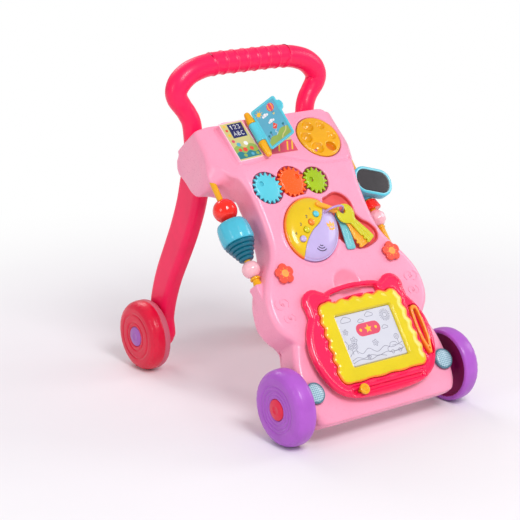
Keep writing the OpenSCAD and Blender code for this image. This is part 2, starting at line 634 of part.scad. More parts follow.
// ---------- drawing board ----------
board_h = gap;
grip_gap_half = 40;
grip_gap_s = 197;
grip_gap_w = 10;
board_t = 11;
ear_at = [64.5, 197.5];
ear_r = 18.5;
board_half = concat(curve([[0, 61], [30, 62], [58, 66], [79, 77], [93, 98], [99.5, 124], [98, 148],
    [91, 166], [82, 180]], 3), arc(ear_at, ear_r, -20, 130, 9), curve([[46, 208], [30, 212], [0, 214]], 3));
board_outline = concat(board_half,
    [for (i = [len(board_half) - 2 : -1 : 1]) [-board_half[i][0], board_half[i][1]]]);
bezel_half_x = 71;
bezel_low = 86;
bezel_high = 193;
wave = 1.9;
function wavy(a, b, n) = let (d = b - a, m = [-d[1], d[0]] / norm(d))
    [for (i = [0 : n - 1]) a + d * i / n + m * wave * sin(360 * 4.5 * i / n)];
wave_points = 44;
bezel_outline = concat([[-60, bezel_low], [62, bezel_low]],
    wavy([bezel_half_x, 96], [bezel_half_x - 5, 184], wave_points),
    wavy([58, bezel_high], [-58, bezel_high], wave_points),
    wavy([-bezel_half_x + 5, 184], [-bezel_half_x, 96], wave_points));
screen_half_x = 46.5;
screen_low = 103.5;
screen_high = 173.5;
slider_track = [-58, 58];
slider_s = 73;
module board_frame() color([1, 0.22, 0.42]) on_face(0, 0, board_h) difference() {
    linear_extrude(board_t) polygon(board_outline);
    // the carrying gap behind the top bar
    translate([-grip_gap_half, grip_gap_s, -1]) cube([2 * grip_gap_half, grip_gap_w, 30]);
    translate([0, 0, 3]) linear_extrude(30) polygon(bezel_outline_grown());
    translate([slider_track[0], slider_s - 2, 5]) cube([slider_track[1] - slider_track[0], 4, 20]);
    pen_slot();
}
function bezel_outline_grown() = inset(bezel_outline, -gap - 0.15);
pen_at = [82.2, 130.5];
pen_half_l = 34.5;
pen_half_w = 6.7;
module pen_slot() translate([pen_at[0] - pen_half_w - 0.5, pen_at[1] - pen_half_l - 1, 5])
    cube([2 * pen_half_w + 1, 2 * pen_half_l + 2, 20]);
module board_bezel() color([0.93, 0.82, 0.18]) on_face(0, 0, board_h) difference() {
    translate([0, 0, 3]) linear_extrude(board_t - 1) polygon(bezel_outline);
    translate([-screen_half_x, screen_low, 0]) cube([2 * screen_half_x, screen_high - screen_low, 40]);
}
module board_screen() color([0.86, 0.86, 0.9]) on_face(0, 0, board_h)
    translate([-screen_half_x + gap, screen_low + gap, 3])
        cube([2 * (screen_half_x - gap), screen_high - screen_low - 2 * gap, 6.5]);
module board_slider() color([0.98, 0.76, 0.1]) on_face(-45, slider_s, board_h) {
    translate([-5, -1.7, 5.4]) cube([10, 3.4, 6]);
    translate([0, 0, board_t + 0.4]) difference() {
        cylinder(r = 7.2, h = 4);
        translate([0, 0, 9]) sphere(r = 7);
    }
}
// The pen's outline: a round top and sides that run down to a tip
function pen_outline(half_w, top, bottom) = concat(arc([0, top - half_w], half_w, 0, 180, 8),
    [[-half_w, -14], [-1.4, bottom], [1.4, bottom], [half_w, -14]]);
module board_pen() color([0.98, 0.6, 0.12]) on_face(pen_at[0], pen_at[1], board_h + 5.4) difference() {
    linear_extrude(7) polygon(pen_outline(pen_half_w, pen_half_l, -pen_half_l));
    translate([0, 0, -1]) linear_extrude(10)
        polygon(pen_outline(pen_half_w - 3, pen_half_l - 4, -pen_half_l + 10));
}

// ---------- beads and mirror ----------
module bead_rods() color([0.97, 0.72, 0.1]) for (side = [-1, 1]) {
    on_rod(side, rod_foot_s - rod_seat) cylinder(r = rod_r - 0.02, h = rod_top_s - rod_foot_s + rod_seat);
    // the ring that the lowest bead rests on
    on_rod(side, side < 0 ? 252.5 : 288) cylinder(r = 7, h = 2.6);
}
module bored() difference() {
    children();
    translate([0, 0, -60]) cylinder(r = rod_r - 0.02 + fit, h = 120);
}
module red_ball() color([0.98, 0.22, 0.15]) on_rod(-1, 355) bored() sphere(r = 16.2, $fn = 64);
cup_side = curve([[21.6, 0], [22.6, 8], [22.4, 18], [19.8, 28], [14.5, 34.5]], 3);
module bell_cup() color([0.38, 0.77, 0.85]) on_rod(-1, 303) bored() rotate_extrude($fn = 64)
    polygon(concat([[0, 0]], cup_side, [[0, 34.5]]));
cone_ribs = 5;
module bell_cone() color([0.12, 0.54, 0.6]) on_rod(-1, 280.5) bored() for (i = [0 : cone_ribs - 1])
    translate([0, 0, 4.4 * i]) cylinder(r1 = 8.5 + 2.2 * i, r2 = 9.8 + 2.4 * i, h = 4.6);
module bead_left() color([0.97, 0.72, 0.77]) on_rod(-1, 267.5) bored() sphere(r = 12, $fn = 64);
module bead_right() color([0.97, 0.66, 0.72]) on_rod(1, 303.5) bored() sphere(r = 12.6, $fn = 64);
module bead_red_right() color([0.98, 0.22, 0.15]) on_rod(1, 316.6) bored()
    cylinder(r1 = 13, r2 = 9, h = 12.4);
mirror_turn = -19;
mirror_at = [122.4, 353];
mirror_h = -27.5;              // back of the mirror's housing
mirror_t = 14.5;
mirror_seat = 2.1;             // depth of the recess for the glass
mirror_rim = 3.4;
mirror_sleeve = [333, 375];
mirror_l = 62;
mirror_w = 41;
mirror_corner = 19;
module mirror_plan(inner) {
    half_l = mirror_l / 2 - mirror_corner;
    half_w = mirror_w / 2 - mirror_corner;
    for (a = [-1, 1], b = [-1, 1]) translate([a * half_l, b * half_w]) circle(r = mirror_corner - inner);
    square([2 * half_l, mirror_w - 2 * inner], center = true);
    square([mirror_l - 2 * inner, 2 * half_w], center = true);
}
// The mirror's own frame, h above the back of its housing
module on_mirror(h) on_face(mirror_at[0], mirror_at[1], mirror_h + h) rotate(mirror_turn) children();
module mirror_frame() color([0.42, 0.82, 0.88]) difference() {
    union() {
        on_mirror(0) linear_extrude(mirror_t) mirror_plan(0);
        on_rod(1, mirror_sleeve[0]) cylinder(r = rod_r + 3, h = mirror_sleeve[1] - mirror_sleeve[0]);
    }
    on_mirror(mirror_t - mirror_seat) linear_extrude(5) mirror_plan(mirror_rim);
    on_rod(1, 250) cylinder(r = rod_r - 0.02 + fit, h = 200);
}
module mirror_glass() color([0.33, 0.31, 0.32]) on_mirror(mirror_t - mirror_seat) linear_extrude(1.2)
    mirror_plan(mirror_rim + 0.2);

front_shell();
back_cover();
handle();
leg_left();
leg_right();
front_axle();
rear_axles();
shell_screws();
headlight_rims();
headlight_lenses();
gear_tray();
book_spindle();
phone_yellow();
phone_lilac();
phone_base();
speaker();
circuit_board();
battery_box();
battery_door();
batteries();
key_ring();
key_tray();
bead_rods();
tyre_front_left();
tyre_front_right();
tyre_rear_left();
tyre_rear_right();
cap_front_left();
cap_front_right();
cap_rear_left();
cap_rear_right();
gear_cyan();
gear_orange();
gear_green();
dial();
book_page();
music_button_1();
music_button_2();
music_button_3();
music_button_4();
flower_left();
flower_right();
key_olive();
key_orange();
key_cyan();
board_frame();
board_bezel();
board_screen();
board_slider();
board_pen();
red_ball();
bell_cup();
bell_cone();
bead_left();
bead_red_right();
bead_right();
mirror_frame();
mirror_glass();
power_switch();
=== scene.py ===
"""The looks of a baby walker: a moulded pink shell with toys, on four wheels, with a push handle.

Every piece sits in the row's frame: the floor is z = 0 and the face with the toys looks to -Y.
Points on the face are given in millimetres as (x across, s up along the face, h out of the face),
and points on the head platform as (x, v up along the platform, h out of it).
"""

from math import asin, atan, atan2, cos, degrees, hypot, pi, radians, sin, tan

import bpy
import numpy as np
from mathutils import Matrix, Vector
from mathutils.geometry import tessellate_polygon


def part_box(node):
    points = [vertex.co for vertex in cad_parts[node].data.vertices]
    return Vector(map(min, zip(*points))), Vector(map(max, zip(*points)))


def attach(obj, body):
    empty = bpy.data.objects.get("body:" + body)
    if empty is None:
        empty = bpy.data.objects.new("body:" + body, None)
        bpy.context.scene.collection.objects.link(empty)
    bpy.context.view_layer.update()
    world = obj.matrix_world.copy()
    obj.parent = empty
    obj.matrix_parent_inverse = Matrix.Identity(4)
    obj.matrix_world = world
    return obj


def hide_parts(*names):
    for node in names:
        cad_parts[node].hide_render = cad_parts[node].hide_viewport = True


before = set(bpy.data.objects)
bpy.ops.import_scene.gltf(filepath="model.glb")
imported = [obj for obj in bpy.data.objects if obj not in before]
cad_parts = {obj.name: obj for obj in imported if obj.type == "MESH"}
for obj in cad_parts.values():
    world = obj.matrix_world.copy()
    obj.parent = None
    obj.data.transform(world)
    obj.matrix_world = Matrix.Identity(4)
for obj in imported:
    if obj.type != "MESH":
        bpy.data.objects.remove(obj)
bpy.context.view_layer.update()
MM = 0.001

# ---------------------------------------------------------------- frames
FACE_TILT = radians(35.7)      # the face leans back from vertical
HEAD_TILT = radians(48)        # the head platform leans back further
ROD_LEAN = radians(5.2)        # the bead rods lean back from the face
AXLE_TO_FACE = 74              # from the front axle to where the plane of the face meets the floor
HEAD_S = 385                   # height along the face where the head platform starts
ROD_X, ROD_FOOT_S, ROD_FOOT_H = 116, 236, -23


def tilted(origin, tilt):
    """A frame at origin (mm) with y up along a plane that leans back by tilt, and z out of the plane."""
    m = Matrix(((1, 0, 0), (0, sin(tilt), cos(tilt)), (0, -cos(tilt), sin(tilt)))).transposed().to_4x4()
    m.translation = Vector(origin)
    return m


axle_low, axle_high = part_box("front_axle")
FACE = tilted((0, (axle_low.y + axle_high.y) / 2 / MM - AXLE_TO_FACE, 0), FACE_TILT)
HEAD = tilted(FACE @ Vector((0, HEAD_S, 0)), HEAD_TILT)


def shift(x=0, y=0, z=0):
    return Matrix.Translation((x, y, z))


def turn(angle, axis="Z"):
    return Matrix.Rotation(radians(angle), 4, axis)


def rod_frame(side, s):
    """A frame on a bead rod: z runs up the rod, and y points out of the face."""
    foot = FACE @ shift(side * ROD_X, ROD_FOOT_S, ROD_FOOT_H)
    return foot @ Matrix.Rotation(-pi / 2 - ROD_LEAN, 4, "X") @ shift(0, 0, s - ROD_FOOT_S)


# ---------------------------------------------------------------- camera and light, in metres
CAMERA_AT, CAMERA_AIM = (-1.2683, -1.6435, 0.7766), (-0.1782, -0.173, 0.2496)
LENS = 109.5                   # millimetres, on a sensor 36 mm wide
LAMP_AIM = (0, 0, 0.2)
LAMPS = (                      # name, place, size, watts
    ("key", (-0.35, -2.0, 2.2), 1.1, 46),
    ("fill", (2.2, -0.9, 1.4), 1.2, 12),
    ("side", (-2.4, -0.5, 1.1), 1.0, 9),
    ("back", (0.2, 2.2, 2.2), 1.6, 22),
)
ROOM_LIGHT = 0.5


def aimed(name, data, place, aim):
    """A camera or a lamp at place that looks at aim."""
    o = bpy.data.objects.new(name, data)
    o.location = place
    o.rotation_euler = (Vector(aim) - Vector(place)).to_track_quat("-Z", "Y").to_euler()
    bpy.context.scene.collection.objects.link(o)
    return o


def camera():
    """The view from the front left, a little above the walker."""
    data = bpy.data.cameras.new("camera")
    data.lens = LENS
    data.sensor_width = 36
    data.clip_start = 0.05
    data.clip_end = 50
    bpy.context.scene.camera = aimed("camera", data, CAMERA_AT, CAMERA_AIM)


def studio():
    """Soft white light from all round and four round lamps: key, fill, left side and back."""
    scene = bpy.context.scene
    scene.world = bpy.data.worlds.new("studio")
    scene.world.use_nodes = True
    sky = scene.world.node_tree.nodes["Background"]
    sky.inputs[0].default_value = (1, 1, 1, 1)
    sky.inputs[1].default_value = ROOM_LIGHT
    for name, place, size, watts in LAMPS:
        data = bpy.data.lights.new(name, "AREA")
        data.shape = "DISK"
        data.size = size
        data.energy = watts
        aimed(name, data, place, LAMP_AIM)
    scene.view_settings.view_transform = "Standard"
    scene.view_settings.look = "None"
    scene.view_settings.exposure = 0


# ---------------------------------------------------------------- node materials
def linear(rgb):
    """A colour of 0 to 255 as the eye sees it, made linear."""
    return tuple((c / 255 / 12.92) if c / 255 <= 0.04045 else ((c / 255 + 0.055) / 1.055) ** 2.4 for c in rgb)


def node(tree, kind, **values):
    n = tree.nodes.new(kind)
    for key, value in values.items():
        if key in n.inputs:
            n.inputs[key].default_value = value
        else:
            setattr(n, key, value)
    return n


def ramp(tree, dark, light, start, end):
    """A colour ramp between two linear colours."""
    n = node(tree, "ShaderNodeValToRGB")
    for stop, colour, position in zip(n.color_ramp.elements, (dark, light), (start, end)):
        stop.position = position
        stop.color = (*colour, 1)
    return n


def join(tree, *links):
    """Each link is a node and its output, then a node and its input."""
    for source, output, target, socket in links:
        tree.links.new(source.outputs[output], target.inputs[socket])


def plastic(name, rgb, rough=0.28, coat=0.35, dark=0.9, soft=0.0, grain=0.05, mottle=35.0):
    """Moulded plastic: two close tones that drift over centimetres, a fine skin and worn roughness.

    dark is the darker tone's share of the colour, soft the light that passes under the surface,
    grain the height of the skin, and mottle the number of drifts in a metre.
    """
    m = bpy.data.materials.new(name)
    m.use_nodes = True
    t = m.node_tree
    shader = t.nodes["Principled BSDF"]
    base = linear(rgb)
    place = node(t, "ShaderNodeTexCoord")
    drift = node(t, "ShaderNodeTexNoise", Scale=mottle, Detail=3.0, Roughness=0.55)
    tones = ramp(t, [c * dark for c in base], [min(1, c * (2 - dark) ** 0.4) for c in base], 0.3, 0.7)
    wear = node(t, "ShaderNodeTexNoise", Scale=420.0, Detail=4.0, Roughness=0.6)
    gloss = node(t, "ShaderNodeMapRange", **{"To Min": rough * 0.8, "To Max": rough * 1.25})
    skin = node(t, "ShaderNodeTexNoise", Scale=1800.0, Detail=2.0, Roughness=0.5)
    bump = node(t, "ShaderNodeBump", Strength=grain, Distance=0.0004)
    join(t, *((place, "Object", n, "Vector") for n in (drift, wear, skin)))
    join(t, (drift, "Fac", tones, "Fac"), (tones, "Color", shader, "Base Color"),
         (wear, "Fac", gloss, "Value"), (gloss, "Result", shader, "Roughness"),
         (skin, "Fac", bump, "Height"), (bump, "Normal", shader, "Normal"))
    settings = {"Coat Weight": coat, "Coat Roughness": 0.12, "IOR": 1.5, "Specular IOR Level": 0.3,
                "Subsurface Weight": soft, "Subsurface Radius": (0.004, 0.0022, 0.0022),
                "Subsurface Scale": 1.0}
    for key, value in settings.items():
        shader.inputs[key].default_value = value
    return m


def coordinates(material):
    return next(n for n in material.node_tree.nodes if n.type == "TEX_COORD")


def steel(name):
    """Drawn steel: fine scratches along the bar."""
    m = plastic(name, (190, 192, 196), rough=0.3, coat=0, grain=0.1, dark=0.85, mottle=300.0)
    m.node_tree.nodes["Principled BSDF"].inputs["Metallic"].default_value = 1
    return m


def floor_material():
    """A pale studio floor with the faint tooth of paper, which fades to plain white away from the walker."""
    m = plastic("floor", (236, 232, 237), rough=0.8, coat=0, grain=0.1, dark=0.985, mottle=3.0)
    t = m.node_tree
    shader = t.nodes["Principled BSDF"]
    shader.inputs["Specular IOR Level"].default_value = 0.1
    glow = node(t, "ShaderNodeEmission", Strength=1.0, Color=(1, 1, 1, 1))
    distance = node(t, "ShaderNodeVectorMath", operation="LENGTH")
    fade = node(t, "ShaderNodeMapRange", interpolation_type="SMOOTHSTEP",
                **{"From Min": 0.3, "From Max": 1.1})
    blend = node(t, "ShaderNodeMixShader")
    join(t, (coordinates(m), "Object", distance, 0), (distance, "Value", fade, "Value"),
         (fade, "Result", blend, "Fac"), (shader, "BSDF", blend, 1), (glow, "Emission", blend, 2),
         (blend, "Shader", t.nodes["Material Output"], "Surface"))
    return m


# ---------------------------------------------------------------- making meshes
def new_object(name, verts, faces, materials, smooth=True, picks=None, normals=None):
    """A mesh object from points in millimetres in the row's frame; picks gives each face's material."""
    mesh = bpy.data.meshes.new(name)
    mesh.from_pydata((np.asarray(verts, float) * MM).tolist(), [], [list(map(int, f)) for f in faces])
    mesh.validate()
    for m in materials:
        mesh.materials.append(m)
    mesh.polygons.foreach_set("use_smooth", [smooth] * len(mesh.polygons))
    if picks is not None:
        mesh.polygons.foreach_set("material_index", list(map(int, picks)))
    if normals is not None and len(mesh.vertices) == len(normals):
        mesh.normals_split_custom_set_from_vertices(normals.tolist())
    o = bpy.data.objects.new(name, mesh)
    bpy.context.scene.collection.objects.link(o)
    return o


def add(o, body, slot, *nodes):
    """The piece moves with body and stands for the CAD nodes; slot is not used."""
    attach(o, body)
    if nodes:
        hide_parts(*nodes)


def placed(points, place):
    """Points (n, 3) of a local frame taken to the row's frame, in millimetres."""
    m = np.array(place)
    return np.asarray(points) @ m[:3, :3].T + m[:3, 3]


CORNERS = [(a, b, c) for a in (0, 1) for b in (0, 1) for c in (0, 1)]


def surface_of(d, low, step):
    """The zero surface of the grid d as quads: one point in each cell that it passes through.

    Returns the points in millimetres, the quads, and the points in cells.
    """
    inside = d < 0
    cell = tuple(n - 1 for n in d.shape)
    count = np.zeros(cell, np.int8)
    for a, b, c in CORNERS:
        count += inside[a:a + cell[0], b:b + cell[1], c:c + cell[2]]
    active = (count > 0) & (count < 8)
    where = np.argwhere(active)
    index = np.full(cell, -1, np.int64)
    index[active] = np.arange(len(where))
    total = np.zeros((len(where), 3))
    crossings = np.zeros(len(where))
    for p in CORNERS:
        for axis in range(3):
            if p[axis]:
                continue
            q = list(p)
            q[axis] = 1
            dp = d[tuple((where + p).T)]
            dq = d[tuple((where + q).T)]
            hit = (dp < 0) != (dq < 0)
            point = np.tile(np.array(p, float), (hit.sum(), 1))
            point[:, axis] += dp[hit] / (dp[hit] - dq[hit])
            total[hit] += point
            crossings[hit] += 1
    verts = where + total / crossings[:, None]
    quads = []
    for axis in range(3):
        u, v = (axis + 1) % 3, (axis + 2) % 3
        a = [slice(0, n) for n in d.shape]
        b = [slice(0, n) for n in d.shape]
        a[axis], b[axis] = slice(0, -1), slice(1, None)
        at = np.argwhere(inside[tuple(a)] != inside[tuple(b)])
        at = at[(at[:, u] > 0) & (at[:, v] > 0) & (at[:, u] < cell[u]) & (at[:, v] < cell[v])]
        four = []
        for du, dv in ((1, 1), (0, 1), (0, 0), (1, 0)):
            c = at.copy()
            c[:, u] -= du
            c[:, v] -= dv
            four.append(index[tuple(c.T)])
        four = np.stack(four, 1)
        quads.append(np.where(inside[tuple(at.T)][:, None], four, four[:, ::-1]))
    return np.array(low) + verts * step, np.concatenate(quads), verts


def sampled(grid, at):
    """The grid read between its points, at (n, 3) cell coordinates."""
    i = np.clip(np.floor(at).astype(int), 0, np.array(grid.shape[:3]) - 2)
    f = at - i
    out = 0
    for a, b, c in CORNERS:
        w = np.abs(1 - a - f[:, 0]) * np.abs(1 - b - f[:, 1]) * np.abs(1 - c - f[:, 2])
        out = out + w * grid[i[:, 0] + a, i[:, 1] + b, i[:, 2] + c]
    return out


def solid(name, field, low, high, step, place, materials, pick=None):
    """A closed mesh of the solid where field(x, y, z) < 0, in millimetres of the local frame place."""
    x, y, z = (np.arange(low[i], high[i] + step, step, dtype=np.float32) for i in range(3))
    d = field(x[:, None, None], y[None, :, None], z[None, None, :]).astype(np.float32)
    points, quads, cells = surface_of(d, low, step)
    slope = np.stack([sampled(g, cells) for g in np.gradient(d)], 1)
    length = np.maximum(np.linalg.norm(slope, axis=1, keepdims=True), 1e-9)
    m = np.array(place)[:3, :3]
    picks = None if pick is None else pick(points[quads].mean(1))
    if np.linalg.det(m) < 0:
        quads = quads[:, ::-1]
    normals = (slope / length) @ m.T
    return new_object(name, placed(points, place), quads, materials, picks=picks, normals=normals)


def cell_size(full):
    return full


def outline_distance(outline, x, y):
    """Signed distance from a closed outline, negative inside; x and y are arrays that broadcast."""
    x, y = np.broadcast_arrays(np.asarray(x, float), np.asarray(y, float))
    best = np.full(x.shape, 1e18)
    inside = np.zeros(x.shape, bool)
    n = len(outline)
    for i in range(n):
        (ax, ay), (bx, by) = outline[i], outline[(i + 1) % n]
        ex, ey = bx - ax, by - ay
        wx, wy = x - ax, y - ay
        t = np.clip((wx * ex + wy * ey) / max(ex * ex + ey * ey, 1e-12), 0, 1)
        best = np.minimum(best, (wx - ex * t) ** 2 + (wy - ey * t) ** 2)
        cross = (ay > y) != (by > y)
        if cross.any() and ey != 0:
            inside ^= cross & (x < ax + ex * (y - ay) / ey)
    return np.where(inside, -1, 1) * np.sqrt(best)


def both(a, b, r):
    """Where both solids are, with the edge between them rounded to r."""
    return np.minimum(np.maximum(a, b), -r) + np.hypot(np.maximum(a + r, 0), np.maximum(b + r, 0))


def either(a, b, r):
    """Where either solid is, with a fillet of r between them."""
    return -both(-a, -b, r)


def without(a, b, r):
    """The solid a with b cut away, and the cut's edge rounded to r."""
    return both(a, -b, r)


def plate(edge, z, low, top, r):
    """The plan edge made a plate from low to top, with its edges rounded to r."""
    return both(edge, np.maximum(z - top, low - z), r)


def slab(edge, z, middle, half, r):
    """The plan edge made a plate to half above and below middle."""
    return both(edge, np.abs(z - middle) - half, r)


def pit(x, y, z, at, r, bottom):
    """A round hole at a point of the plan, open upwards."""
    return np.maximum(np.hypot(x - at[0], y - at[1]) - r, bottom - z)


def from_sector(x, y, count):
    """The angle from the middle of the nearest of count equal sectors."""
    width = 2 * pi / count
    return (np.arctan2(y, x) + width / 2) % width - width / 2


def smooth_curve(points, closed=False, n=6):
    """A Catmull-Rom curve through the points, with n steps from one to the next."""
    p = np.array(points, float)
    count = len(p)
    out = []
    for i in range(count if closed else count - 1):
        if closed:
            a, b, c, d = p[i - 1], p[i], p[(i + 1) % count], p[(i + 2) % count]
        else:
            a, b, c, d = p[max(i - 1, 0)], p[i], p[i + 1], p[min(i + 2, count - 1)]
        for k in range(n):
            t = k / n
            out.append(0.5 * (2 * b + (c - a) * t + (2 * a - 5 * b + 4 * c - d) * t * t
                              + (3 * b - a - 3 * c + d) * t ** 3))
    if not closed:
        out.append(p[-1])
    return np.array(out)


def arc(cx, cy, r, a0, a1, n=12):
    a = np.radians(np.linspace(a0, a1, n))
    return np.stack([cx + r * np.cos(a), cy + r * np.sin(a)], 1)


def full_turn(n):
    return np.linspace(0, 2 * pi, n, endpoint=False)


def polar(r, angle):
    return r * cos(angle), r * sin(angle)


def turned(points, angle):
    """The points turned about their origin by angle degrees."""
    c, s = cos(radians(angle)), sin(radians(angle))
    return np.array(points, float) @ [[c, s], [-s, c]]


def mirrored(points):
    """The outline's right half with its mirror image, as one closed outline."""
    p = np.array(points, float)
    return np.concatenate([p, (p * [-1, 1])[::-1]])


def rounded_box(x0, y0, x1, y1, r):
    return np.concatenate([arc(x1 - r, y0 + r, r, -90, 0, 5), arc(x1 - r, y1 - r, r, 0, 90, 5),
                           arc(x0 + r, y1 - r, r, 90, 180, 5), arc(x0 + r, y0 + r, r, 180, 270, 5)])


def round_corners(profile, r, n=5):
    """The open profile with each inner corner cut back by r and rounded."""
    p = np.array(profile, float)
    out = [p[0]]
    for a, b, c in zip(p, p[1:], p[2:]):
        la, lc = np.linalg.norm(a - b), np.linalg.norm(c - b)
        cut = min(r, la / 2.05, lc / 2.05)
        s, e = b + (a - b) * cut / max(la, 1e-9), b + (c - b) * cut / max(lc, 1e-9)
        out += [(1 - t) ** 2 * s + 2 * t * (1 - t) * b + t ** 2 * e for t in np.linspace(0, 1, n)]
    out.append(p[-1])
    return np.array(out)


SHARP = 38  # edges sharper than this many degrees stay sharp in the shading


def lathe(name, profile, place, materials, sides=72):
    """The profile of (radius, height) points turned about z. Ends on the axis are closed."""
    profile = np.array(profile, float)
    a = full_turn(sides)
    verts = np.stack([np.outer(profile[:, 0], np.cos(a)), np.outer(profile[:, 0], np.sin(a)),
                      np.repeat(profile[:, 1:2], sides, 1)], 2).reshape(-1, 3)
    faces = []
    for low in range(0, (len(profile) - 1) * sides, sides):
        for k in range(sides):
            j = (k + 1) % sides
            faces.append([low + k, low + j, low + sides + j, low + sides + k])
    verts, faces = weld(placed(verts, place), faces)
    o = new_object(name, verts, [f for f in faces if len(f) > 2], materials)
    o.data.set_sharp_from_angle(angle=radians(SHARP))
    return o


def weld(verts, faces):
    """Points that lie together made one, and faces without repeated corners."""
    number = {}
    index = [number.setdefault(tuple(v), len(number)) for v in np.round(verts, 5)]
    return np.array(list(number)), [list(dict.fromkeys(index[i] for i in f)) for f in faces]


def sweep(name, path, radii, place, materials, sides):
    """A round tube along the path (n, 3) with a radius at each point and flat ends."""
    path = np.array(path, float)
    n = len(path)
    radii = np.broadcast_to(radii, n)
    a = full_turn(sides)
    rings = []
    u = None
    for i in range(n):
        t = path[min(i + 1, n - 1)] - path[max(i - 1, 0)]
        t /= np.linalg.norm(t)
        if u is None:
            u = np.cross(t, [0, 0, 1] if abs(t[2]) < 0.9 else [1, 0, 0])
        u = u - t * np.dot(u, t)
        u /= np.linalg.norm(u)
        rings.append(path[i] + radii[i] * (np.outer(np.cos(a), u) + np.outer(np.sin(a), np.cross(t, u))))
    faces = [list(range(sides))[::-1], [(n - 1) * sides + k for k in range(sides)]]
    for low in range(0, (n - 1) * sides, sides):
        for k in range(sides):
            j = (k + 1) % sides
            faces.append([low + k, low + j, low + sides + j, low + sides + k])
    return new_object(name, placed(np.concatenate(rings), place), faces, materials)


# ---------------------------------------------------------------- the walker's plastics
# colour, roughness, coat, darker tone, light under the skin, height of the skin
SHELL = plastic("shell_pink", (248, 156, 186), 0.28, 0.25, 0.96, 0.1, 0.03)
COVER = plastic("cover_pink", (246, 158, 186), 0.42, 0.1, 0.95, 0, 0.12)
DEEP = plastic("deep_pink", (255, 18, 88), 0.34, 0.08, 0.92, 0.04)
HOT = plastic("board_pink", (250, 14, 84), 0.14, 0.7, 0.9, 0.04, 0.02)
STEEL = steel("steel")
TYRE_LILAC = plastic("tyre_lilac", (176, 88, 200), 0.36, 0.25, 0.9, 0, 0.08)
# painted shade: the front wheels' inner dish is coloured dark magenta to stand for the shade inside it
TYRE_INSIDE_SHADE = plastic("wheel_inside_painted_shade", (140, 12, 92), 0.5, 0.1, 0.8, 0, 0.1)
TYRE_CRIMSON = plastic("tyre_crimson", (226, 6, 58), 0.34, 0.25, 0.88, 0, 0.08)
# painted highlight: a paler band on the rear tread's inner edge, standing for the highlight seen there
TYRE_BAND_HIGHLIGHT = plastic("tyre_band_painted_highlight", (210, 100, 122), 0.5, 0.05, 0.93, 0.04, 0.08)
CAP_RED = plastic("cap_crimson", (228, 6, 62), 0.3, 0.3)
CAP_LILAC = plastic("cap_lilac", (168, 92, 186), 0.3, 0.3)
CYAN = plastic("cyan", (88, 198, 218), 0.24, 0.45, 0.93, 0.06)
BELL_CYAN = plastic("bell_cyan", (74, 186, 212), 0.22, 0.5, 0.9, 0.06)
TEAL = plastic("teal", (6, 104, 128), 0.25, 0.45, 0.85)
ORANGE = plastic("gear_orange", (252, 92, 20), 0.26, 0.4, 0.92, 0.05)
LIME = plastic("green", (160, 190, 6), 0.26, 0.4)
# painted shade: the gear tray is coloured a dark crimson so that the wells show the shade seen round the
# gears' teeth
TRAY_SHADE = plastic("tray_crimson", (196, 38, 86), 0.4, 0.15, 0.85, 0, 0.1)
YELLOW = plastic("yellow", (236, 168, 2), 0.22, 0.5, 0.92, 0.05)
AMBER = plastic("amber", (222, 118, 8), 0.3, 0.3, 0.85)
PHONE = plastic("phone_yellow", (226, 188, 12), 0.22, 0.5, 0.93, 0.05)
BEZEL_PAINT = plastic("bezel_yellow", (224, 200, 14), 0.14, 0.6, 0.94, 0.03, 0.02)
LILAC = plastic("lilac", (190, 172, 222), 0.24, 0.45, 0.94, 0.06)
RIM = plastic("orange", (248, 132, 40), 0.26, 0.4, 0.9, 0.04)
MAUVE = plastic("ring_mauve", (186, 146, 204), 0.25, 0.4)
HOLLOW = plastic("key_hollow", (232, 84, 86), 0.36, 0.2, 0.88, 0, 0.1)
OLIVE = plastic("olive", (206, 198, 26), 0.25, 0.4, 0.92)
KEY_ORANGE = plastic("key_orange", (250, 168, 44), 0.25, 0.4, 0.92)
KEY_TEAL = plastic("key_teal", (104, 186, 196), 0.25, 0.4, 0.92)
CORAL = plastic("flower", (234, 78, 60), 0.3, 0.3, 0.92)
APRICOT = plastic("apricot", (240, 156, 76), 0.3, 0.3, 0.92)
RED = plastic("red", (250, 30, 14), 0.16, 0.7, 0.92, 0.05)
BALLET = plastic("bead_pale", (246, 182, 194), 0.2, 0.6, 0.93, 0.1)
SLATE = plastic("rim_teal", (84, 132, 150), 0.3, 0.3, 0.85)
LENS_PAINT = plastic("lens", (142, 184, 204), 0.12, 0.5)
SCREEN = plastic("screen", (206, 206, 218), 0.35, 0.3, 0.96)
INK_PALE = plastic("ink_pale", (128, 126, 146), 0.5, 0, 0.85)
# painted reflection: the mirror's glass is a dark plastic that stands for the dark surroundings it reflects
MIRROR_DARK_REFLECTION = plastic("mirror_glass", (52, 48, 52), 0.12, 0.8, 0.85)
MIRROR_LIP = plastic("mirror_lip", (150, 222, 236), 0.2, 0.5, 0.93)
INK = plastic("ink", (66, 58, 88), 0.5, 0, 0.85)
DARK = plastic("switch_dark", (44, 44, 52), 0.45, 0.05, 0.8, 0, 0.15)

# ---------------------------------------------------------------- the shell
# The right half of each outline, from the bottom up to the middle of the top
LOWER_HIPS = [(0, 140), (50, 141), (86, 145), (103, 151), (114, 161), (122, 171), (127.5, 185), (129, 202),
              (126, 220), (118, 238), (108, 254), (98, 269), (91.5, 284), (88.5, 300), (87.6, 320),
              (87.8, 340)]
HIPS = smooth_curve(LOWER_HIPS + [
    (89, 357), (92, 373), (95.5, 386), (100, 391), (104.5, 398), (108, 405), (111.5, 411.5), (114.5, 419),
    (116, 429), (115.3, 441), (113.5, 453), (110, 464), (103, 471), (88, 474), (0, 474)], n=3)
